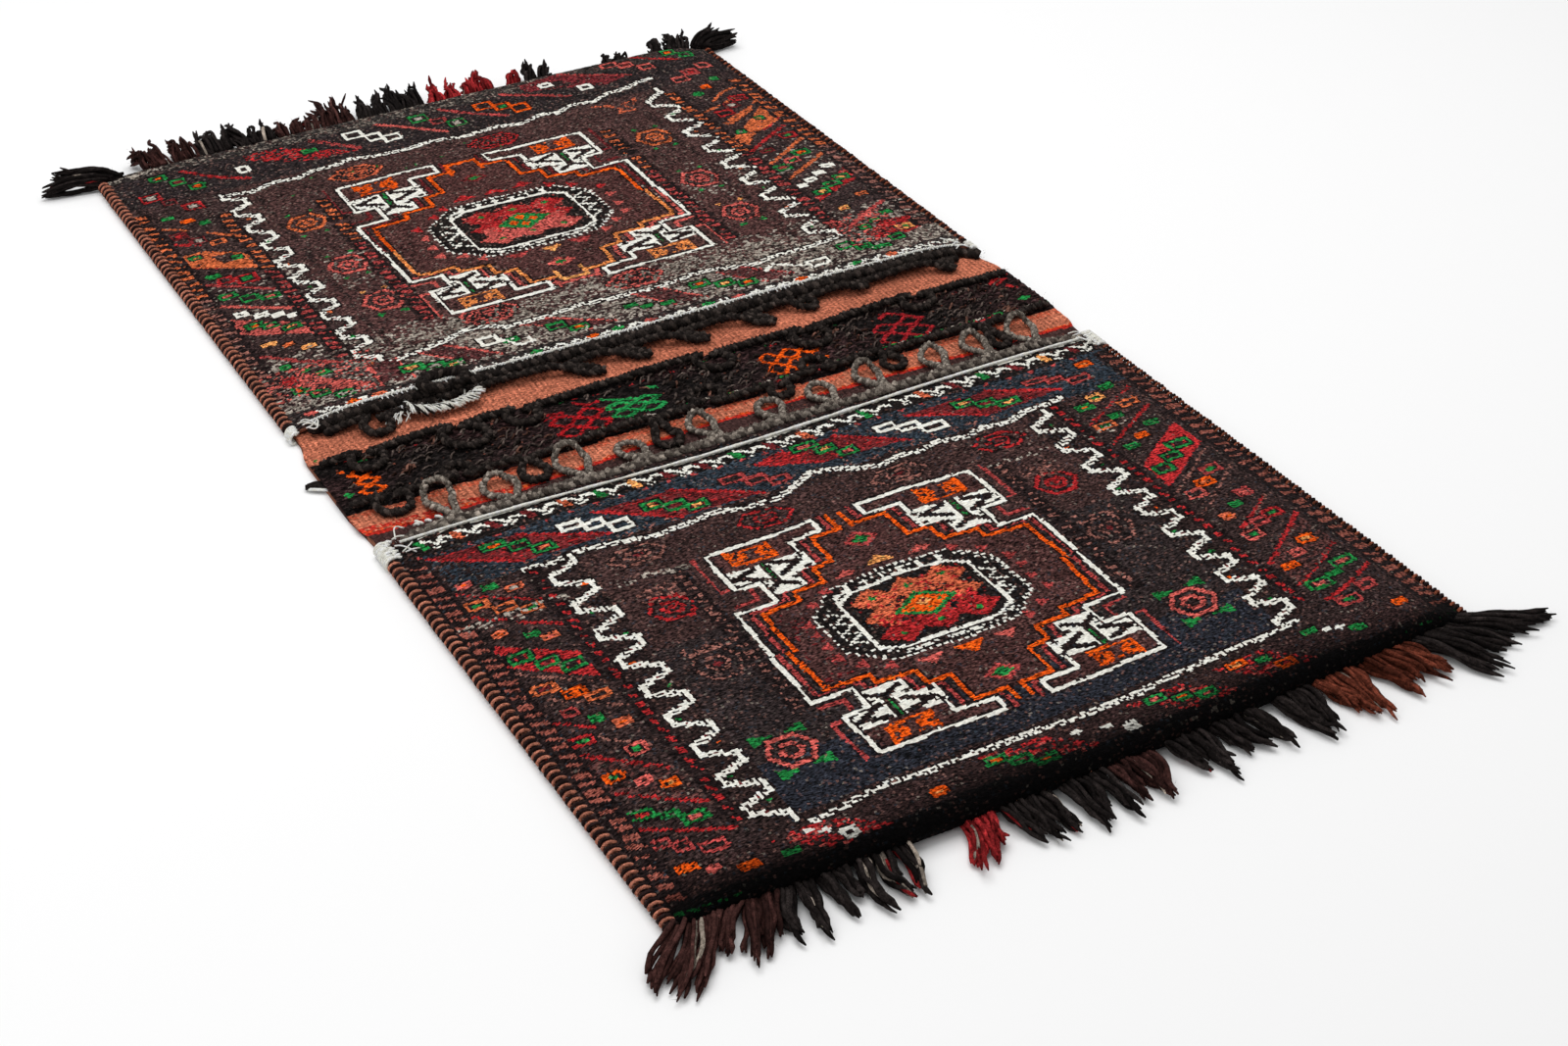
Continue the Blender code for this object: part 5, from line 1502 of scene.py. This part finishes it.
braid = Yarns(53)
run = rear_mouth - mouth_cord - 0.0072
flopped = [(x, width + 0.001, reach + 0.006, lean * 1.5) for x, width, reach, lean in rear_loops]
route = looped_route(-cord_end, cord_end, run, lambda x: rear_cord_height(x) - 0.0030, flopped,
                     mouth_cord * 1.05, on_back)
path = braid.plait(route, radius=0.0037, pitch=0.0115, colours=(cord_black, cord_highlight_black, cord_black),
                   step=0.0017)
braid.hairs(path, spread=0.0028, count=3200, length=0.0036, colour=black_fluff_highlight)
edge_line = [(x, rear_mouth - 0.0040 + 0.0008 * math.sin(45 * x), rear_cord_height(x) - 0.0002)
             for x in np.linspace(-cord_end - 0.008, cord_end + 0.006, 40)]
edge_line += [(0.288, rear_mouth - 0.0085, rear_cord_height(0.288) - 0.0020),
              (0.294, rear_mouth - 0.0150, on_back(0.0))]
path = braid.plait(edge_line, radius=0.0052, pitch=0.0130,
                   colours=(cord_black, cord_highlight_black, cord_black), step=0.0017)
# Lighter fibres: painted highlight on the black fuzz
braid.hairs(path, spread=0.0028, count=1500, length=0.0034, colour=dye(58, 50, 46))
braid.piece("rear_mouth_plait", "black_wool", cord_material, "rear_mouth_braid")

# The ring loop lies back over the rear mouth, and a loop wrapped in ivory hangs below it
ring = Yarns(59)
ring_x, ring_radius = -0.178, 0.0155
points = []
for turn in range(-72, 260, 12):
    angle = math.radians(turn)
    x = ring_x + ring_radius * 1.12 * math.cos(angle)
    y = rear_mouth - 0.0040 + ring_radius * 0.74 * math.sin(angle)
    on_cord = rear_cord_height(x) + 2 * mouth_cord
    on_face = float(rear.top(x, max(y, rear_mouth))) + mouth_cord
    share = float(smooth((y - rear_mouth + 0.005) / 0.016))
    points.append((x, y, on_cord + (on_face - on_cord) * share))
path = ring.plait(points, radius=0.0047, pitch=0.0115, colours=(cord_black, cord_highlight_black, cord_black))
# Lighter fibres: painted highlight on the black fuzz
ring.hairs(path, spread=0.0026, count=700, length=0.0034, colour=dye(62, 54, 50))
ring.piece("ring_mouth_plait", "black_wool", cord_material, "ring_mouth_loop")

striped = Yarns(61)
points = []
for k in range(15):
    turn = math.pi * k / 14
    points.append((ring_x - 0.007 - 0.029 * math.cos(turn),
                   rear_mouth - 0.0120 - 0.0003 * k - 0.0105 * math.sin(turn),
                   back_thickness + 0.0062 + 0.004 * (1 - math.sin(turn))))
path, along = rounded(points, 0.0011)
side, up = axes_along(path, (0.0, 0.0, 1.0))
striped.plait([tuple(point) for point in path[::6]], radius=0.0032, pitch=0.0098,
              colours=(cord_black, ivory, cord_highlight_black), step=0.0013, rough=0.0005)
for k in range(64):
    middle = int((len(path) - 8) * (k + 0.5) / 64) + 4
    turn = np.linspace(0.02 * math.pi, 1.05 * math.pi, 8) + striped.random.normal(0, 0.25)
    slant = np.linspace(0.0062, -0.0058, 8) * striped.random.uniform(0.5, 1.3)
    ahead = path[middle + 2] - path[middle - 2]
    ahead /= np.linalg.norm(ahead)
    wide = striped.random.uniform(0.0026, 0.0050)
    wrap = (path[middle][None, :] + side[middle][None, :] * (wide * np.cos(turn))[:, None]
            + up[middle][None, :] * (0.0030 * np.sin(turn))[:, None] + ahead[None, :] * slant[:, None])
    loose = side[middle] * striped.random.normal(0.0036, 0.0016) - ahead * striped.random.normal(0.003, 0.002)
    wrap = np.vstack([wrap, wrap[-1:] - loose]) if k % 4 == 0 else wrap
    wrap[:, 2] = np.maximum(wrap[:, 2], 0.0042)
    tone = np.array(cord_black[:3])
    if k % 4 != 1:
        tone = np.array(ivory[:3]) * striped.random.uniform(0.75, 1.05)
    striped.strand(rounded(wrap, 0.0012)[0], striped.random.uniform(0.0006, 0.0011), tone, sides=5,
                   across=ahead)
for k in range(15):
    x = ring_x - 0.038 + 0.005 * striped.random.normal()
    y = rear_mouth - 0.012 + 0.003 * striped.random.normal()
    tail = [(x, y, 0.009), (x - 0.004, y - 0.004, 0.010),
            (x - 0.008 + 0.004 * striped.random.normal(), y - 0.010, 0.006)]
    striped.strand(rounded(tail, 0.0012)[0], 0.00060, ivory, sides=4)
striped.hairs(path, spread=0.0022, count=300, length=0.0030, colour=ivory)
striped.piece("striped_plait", "striped_cord", cord_material, "striped_mouth_loop")

# Cords of the bridge
# Two black plaits are sewn across the brocade, with short loops that flop to both sides.
bridge_cord_end = 0.294


def lying(y):
    highest = float(np.max(back_top(np.array([y, y + bridge_cord, y - bridge_cord]))))
    return highest + clearance + bridge_cord


for name, run, loops, seed in (("bridge_front", bridge_front_y, bridge_front_loops, 67),
                               ("bridge_rear", bridge_rear_y, bridge_rear_loops, 71)):
    braid = Yarns(seed)
    wider = [(x, width * 1.3, reach * 1.08, lean) for x, width, reach, lean in loops]
    route = looped_route(-bridge_cord_end, bridge_cord_end, run, lambda x: lying(run), wider,
                         bridge_cord, lying)
    wander = np.random.default_rng(seed)
    route = [(x + wander.normal(0, 0.0006), y + 0.0016 * math.sin(31 * x + seed), z) for x, y, z in route]
    path = braid.plait(route, radius=0.0035, pitch=0.0108,
                       colours=(cord_black, cord_highlight_black, cord_black), step=0.0017)
    braid.hairs(path, spread=0.0028, count=2600, length=0.0040, colour=black_fluff_highlight)
    braid.piece(f"{name}_plait", "black_wool", cord_material, f"{name}_braid")

loose = Yarns(75)
end_brown = dye(80, 69, 64)
end_rust = dye(96, 66, 56)
net_places = ((-286, -258, -40, 6), (-130, -82, -42, 4), (-84, -34, -38, -2), (52, 106, -40, 4),
              (148, 200, -42, 4))
for k in range(760):
    x, y = loose.random.uniform(-0.287, 0.287), loose.random.uniform(-0.046, 0.014)
    if any(left < x * 1000 < right and low < y * 1000 < high for left, right, low, high in net_places):
        continue
    lean, long = loose.random.normal(0.5, 0.5), loose.random.uniform(0.0035, 0.0085)
    rise = loose.random.uniform(0.0008, 0.0022)
    shift = loose.random.normal(0, 0.0012)
    height = back_thickness + brocade_relief
    curl = [(x, y, height), (x + long * 0.4, y + lean * long * 0.4 + shift, height + rise),
            (x + long * 0.8, y + lean * long * 0.7 - shift, height + rise),
            (x + long, y + lean * long, height - 0.0002)]
    # Each end's tone varies widely at random; the brightest stand for painted highlights on the brocade
    tone = np.array(end_brown[:3] if k % 5 else end_rust[:3]) * loose.random.uniform(0.10, 1.7) ** 1.3
    path = rounded(curl, 0.0014)[0]
    loose.strand(path, loose.random.uniform(0.0006, 0.0011), tone, sides=4, uneven=0.3)
    if k % 3 == 0:
        # Lighter fibres: painted highlight on the fuzz
        loose.hairs(path, spread=0.0008, count=2, length=0.0030, colour=dye(84, 74, 68))
loose.piece("brocade_yarn_ends", "black_wool", cord_material)

tuft = Yarns(73)
for k in range(12):
    y = -0.014 + 0.0011 * k
    path = [(-0.296, y, 0.0024), (-0.303, y + 0.003, 0.0030),
            (-0.309 - 0.003 * tuft.random.random(), y * 0.5 + 0.002, 0.0022)]
    tuft.strand(rounded(path, 0.002)[0], 0.0009, ivory if k < 2 else cord_black, sides=5)
tuft.piece("side_yarn_ends", "black_wool", cord_material, "side_tuft")

# Side whipping
# Yarn is wound over both cloth edges of each pocket, salmon and dark brown in turn. Every
# stitch takes the same route and differs a little in place, height and dye.
whip_salmon = dye(204, 130, 106)
whip_rust = dye(150, 84, 62)
whip_dark = dye(44, 31, 30)
stitch_pitch = 0.0036
stitch_inboard = 0.2915


def stitch_route(edge, inboard, lift, slant):
    """One turn of yarn, from the top of the cloth round its edge and under it."""
    top = seam_height
    points = [(inboard, -slant, top - 0.0006 + lift), (0.2945, -slant * 0.5, top + 0.0010 + lift),
              (0.2976, 0.0, top - 0.0002), (0.2990, slant * 0.4, top - 0.0030), (0.2989, slant * 0.7, 0.0030),
              (0.2976, slant, 0.0013), (0.2950, slant, 0.0012)]
    return np.array([(edge * x, y, z) for x, y, z in points])


for pocket, label, tack in ((front, "front", front_tack), (rear, "rear", rear_tack)):
    for edge, hand in ((-1, "left"), (1, "right")):
        sewing = Yarns(79 + edge)
        bright = whip_rust if edge > 0 else whip_salmon
        start = float(pocket.fold_line(cloth_half)) - pocket.side * 0.0020
        end = pocket.mouth + pocket.side * (tack / 2 + 0.001)
        count = round(abs(end - start) / stitch_pitch)
        for k in range(count):
            y = start + (end - start) * (k + 0.5) / count
            shape = stitch_route(edge, stitch_inboard, 0.0004 * (k % 2), 0.0022)
            shape[:, 1] += y + sewing.random.normal(0, 0.0002)
            shape[:, 2] += 0.0003 * sewing.random.normal()
            colour = bright if k % 2 else whip_dark
            colour = np.array(colour[:3]) * sewing.random.uniform(0.60, 1.05)
            path = rounded(shape, 0.0018)[0]
            sewing.strand(path, 0.00108 if k % 2 else 0.00120, colour, sides=5, across=(0.0, 1.0, 0.0))
        sewing.piece(f"{label}_{hand}_stitches", "side_stitching", cord_material, f"{label}_{hand}_whipping")

# Mouth corners
# Each end of a mouth is bound with a few turns of ivory yarn, whose ends hang loose.
for pocket, label, tack in ((front, "front", front_tack), (rear, "rear", rear_tack)):
    for edge, hand in ((-1, "left"), (1, "right")):
        binding = Yarns(89 + edge)
        turns, share, inner_x = (10, 0.86, 0.2870) if label == "front" else (5, 0.60, 0.2915)
        for k in range(turns):
            y = pocket.mouth + tack * share * (0.5 - k / (turns - 1))
            inboard = inner_x + 0.0035 * binding.random.random()
            shape = stitch_route(edge, stitch_inboard, 0.0002, 0.0012 * binding.random.normal())
            height = float(pocket.top(inboard, pocket.mouth))
            inner = [(edge * inboard, 0.0015 * binding.random.normal(), height - 0.0004),
                     (edge * (inboard + 0.003), 0.0,
                      float(pocket.top(inboard + 0.003, pocket.mouth)) + 0.0008)]
            shape = np.vstack([inner, shape])
            shape[:, 0] += edge * 0.0008 * (abs(shape[:, 0]) > 0.293)
            shape[:, 1] += y
            path = rounded(shape, 0.0016)[0]
            binding.strand(path, 0.00125, ivory, sides=6, across=(0.0, 1.0, 0.0))
        for k in range(5):
            x = 0.290 - 0.005 * binding.random.random()
            y = pocket.mouth + tack * binding.random.uniform(-0.5, 0.5)
            height = float(pocket.top(x, pocket.mouth)) + 0.0020
            tail = [(edge * x, y, height),
                    (edge * (x - 0.004), y + 0.005 * binding.random.normal(), height + 0.002),
                    (edge * (x - 0.010), y + 0.007 * binding.random.normal(), height + 0.0006)]
            binding.strand(rounded(tail, 0.002)[0], 0.0006, ivory, sides=5)
        binding.piece(f"{label}_{hand}_binding", "ivory_wool", cord_material, f"{label}_{hand}_tack")

# Fringe
# Warp ends hang in bunches from both folds, black with some dark brown, red and rust.
# The yarns of a bunch draw together to a few points.
yarn_black = dye(36, 31, 30)
yarn_brown = dye(62, 38, 35)
yarn_red = dye(150, 40, 42)
yarn_rust = dye(104, 52, 38)
yarn_pale = dye(176, 162, 148)
# Each bunch in mm: root from and to, tip from and to, reach at both ends, then its dye
front_bunches = (
    (-293, -268, -331, -298, 50, 53, yarn_brown), (-272, -248, -300, -274, 43, 38, yarn_brown),
    (-250, -228, -272, -240, 48, 44, yarn_brown), (-229, -208, -240, -214, 42, 42, yarn_black),
    (-205, -184, -202, -186, 38, 38, yarn_black), (-181, -142, -184, -146, 46, 46, yarn_black),
    (-106, -84, -122, -88, 38, 38, yarn_red), (-80, -46, -82, -42, 38, 38, yarn_black),
    (-38, -6, -36, -2, 46, 46, yarn_black), (-3, 32, 2, 32, 48, 48, yarn_brown),
    (40, 70, 44, 74, 44, 44, yarn_black), (74, 98, 80, 106, 46, 46, yarn_black),
    (101, 110, 112, 119, 40, 40, yarn_black), (126, 156, 134, 156, 50, 50, yarn_black),
    (160, 196, 160, 198, 48, 48, yarn_rust), (200, 240, 212, 256, 44, 44, yarn_rust),
    (244, 276, 268, 314, 50, 50, yarn_black), (279, 292, 322, 356, 30, 30, yarn_black))
rear_bunches = (
    (-290, -276, -352, -326, 3, 17, yarn_black), (-256, -232, -266, -238, 48, 48, yarn_brown),
    (-229, -208, -230, -208, 36, 36, yarn_brown), (-205, -172, -206, -172, 42, 42, yarn_black),
    (-169, -138, -168, -134, 40, 40, yarn_black), (-134, -96, -130, -94, 28, 28, yarn_brown),
    (-93, -62, -88, -56, 48, 48, yarn_brown), (-59, -28, -52, -26, 40, 40, yarn_black),
    (-25, 8, -22, 10, 46, 46, yarn_black), (11, 42, 14, 44, 34, 34, yarn_red),
    (45, 77, 48, 78, 34, 34, yarn_red), (86, 101, 96, 112, 36, 36, yarn_red),
    (105, 130, 116, 142, 34, 34, yarn_black), (186, 212, 190, 214, 14, 14, yarn_black),
    (236, 250, 246, 256, 36, 36, yarn_black), (256, 275, 262, 290, 32, 32, yarn_black),
    (278, 290, 308, 334, 18, 4, yarn_black))


def bunch_of_yarn(yarns, pocket, bunch, pale):
    """Yarns from the fold's foot to the table. They draw together to a few uneven points."""
    root_from, root_to, tip_from, tip_to, reach_from, reach_to = [value / 1000 for value in bunch[:6]]
    colour = bunch[6]
    random = yarns.random
    wide = max(abs(root_to - root_from), math.hypot(tip_to - tip_from, reach_to - reach_from))
    behind = pocket.side > 0
    fewest = 34 if behind else 26
    yarn_pitch = 0.00062 if behind else 0.00085
    finger_width = 0.0125
    count = max(fewest, round(wide / yarn_pitch))
    fingers = max(1, round(wide / finger_width))
    finger_reach = random.uniform(0.70, 1.10, fingers)
    finger_bend = random.normal(0, 0.0035, fingers)
    finger_phase = random.uniform(0, math.tau, fingers)
    steps = np.linspace(0.0, 1.0, 15)
    for n in range(count):
        share = (n + random.uniform(0.0, 1.0)) / count
        finger = min(int(share * fingers), fingers - 1)
        middle = (finger + 0.5) / fingers
        drawn = share + (middle - share) * 0.55 * smooth(steps)
        reach = (reach_from + (reach_to - reach_from) * share) * finger_reach[finger]
        reach *= (1.0 - 0.55 * abs(share - middle) * fingers) * random.uniform(0.80, 1.05)
        length = random.uniform(0.86, 1.03)
        base = pocket.fold_line(root_from + (root_to - root_from) * share)
        x = root_from + (root_to - root_from) * drawn
        outward = tip_from - root_from + (tip_to - root_to - tip_from + root_from) * drawn
        x = x + outward * steps ** 1.2 * length
        sway = random.uniform(0.0006, 0.0030 if behind else 0.0019)
        curl = sway * np.sin(random.uniform(6.0, 11.0) * steps + random.uniform(0, math.tau))
        x = x + finger_bend[finger] * np.sin(3.6 * steps + finger_phase[finger]) * steps + curl * steps
        y = base + pocket.side * (-0.0050 + (reach + 0.0050) * steps * length)
        y = y + 0.7 * curl * np.cos(4.0 * steps) * steps
        layer = random.uniform(0.0, 0.0110 if behind else 0.0060)
        hump = random.uniform(-0.001, 0.0120 if behind else 0.0045)
        tip_lift = max(0.0, random.normal(0.005, 0.006) if behind else random.normal(-0.001, 0.0030))
        z = 0.0022 + layer * (1.0 - 0.6 * steps) + hump * np.sin(math.pi * steps) + tip_lift * steps ** 3
        path = rounded(np.stack([x, y, np.maximum(z + 0.5 * curl, 0.0015)], axis=1), 0.0042)[0]
        tone = np.array(colour[:3]) * random.uniform(0.35, 1.55)
        if random.random() < pale:
            picked = yarn_pale if random.random() < 0.7 else yarn_red
            tone = np.array(picked[:3]) * random.uniform(0.5, 1.1)
        ends = np.clip((1.0 - np.linspace(0.0, 1.0, len(path))) / 0.10, 0.35, 1.0)
        yarns.strand(path, random.uniform(0.0012, 0.0018) * ends, tone, sides=5, uneven=0.28)
        if n % 3 == 0:
            # Loose fibres 1.6 times lighter than the yarn: painted highlight on the fuzz
            yarns.hairs(path, spread=0.0012, count=5, length=0.0040, colour=np.array(colour) * 1.6)


for label, pocket, bunches in (("front", front, front_bunches), ("rear", rear, rear_bunches)):
    for number, bunch in enumerate(bunches, start=1):
        yarns = Yarns(101 + number)
        pale_share = 0.16 if (label, number) in (("front", 6), ("front", 8)) else 0.02
        bunch_of_yarn(yarns, pocket, bunch, pale_share)
        slot = {yarn_black: "black_wool", yarn_brown: "dark_brown_wool", yarn_red: "red_wool",
                yarn_rust: "rust_wool"}[bunch[-1]]
        yarns.piece(f"{label}_fringe_{number:02d}", slot, cord_material, f"{label}_tassel_{number:02d}")
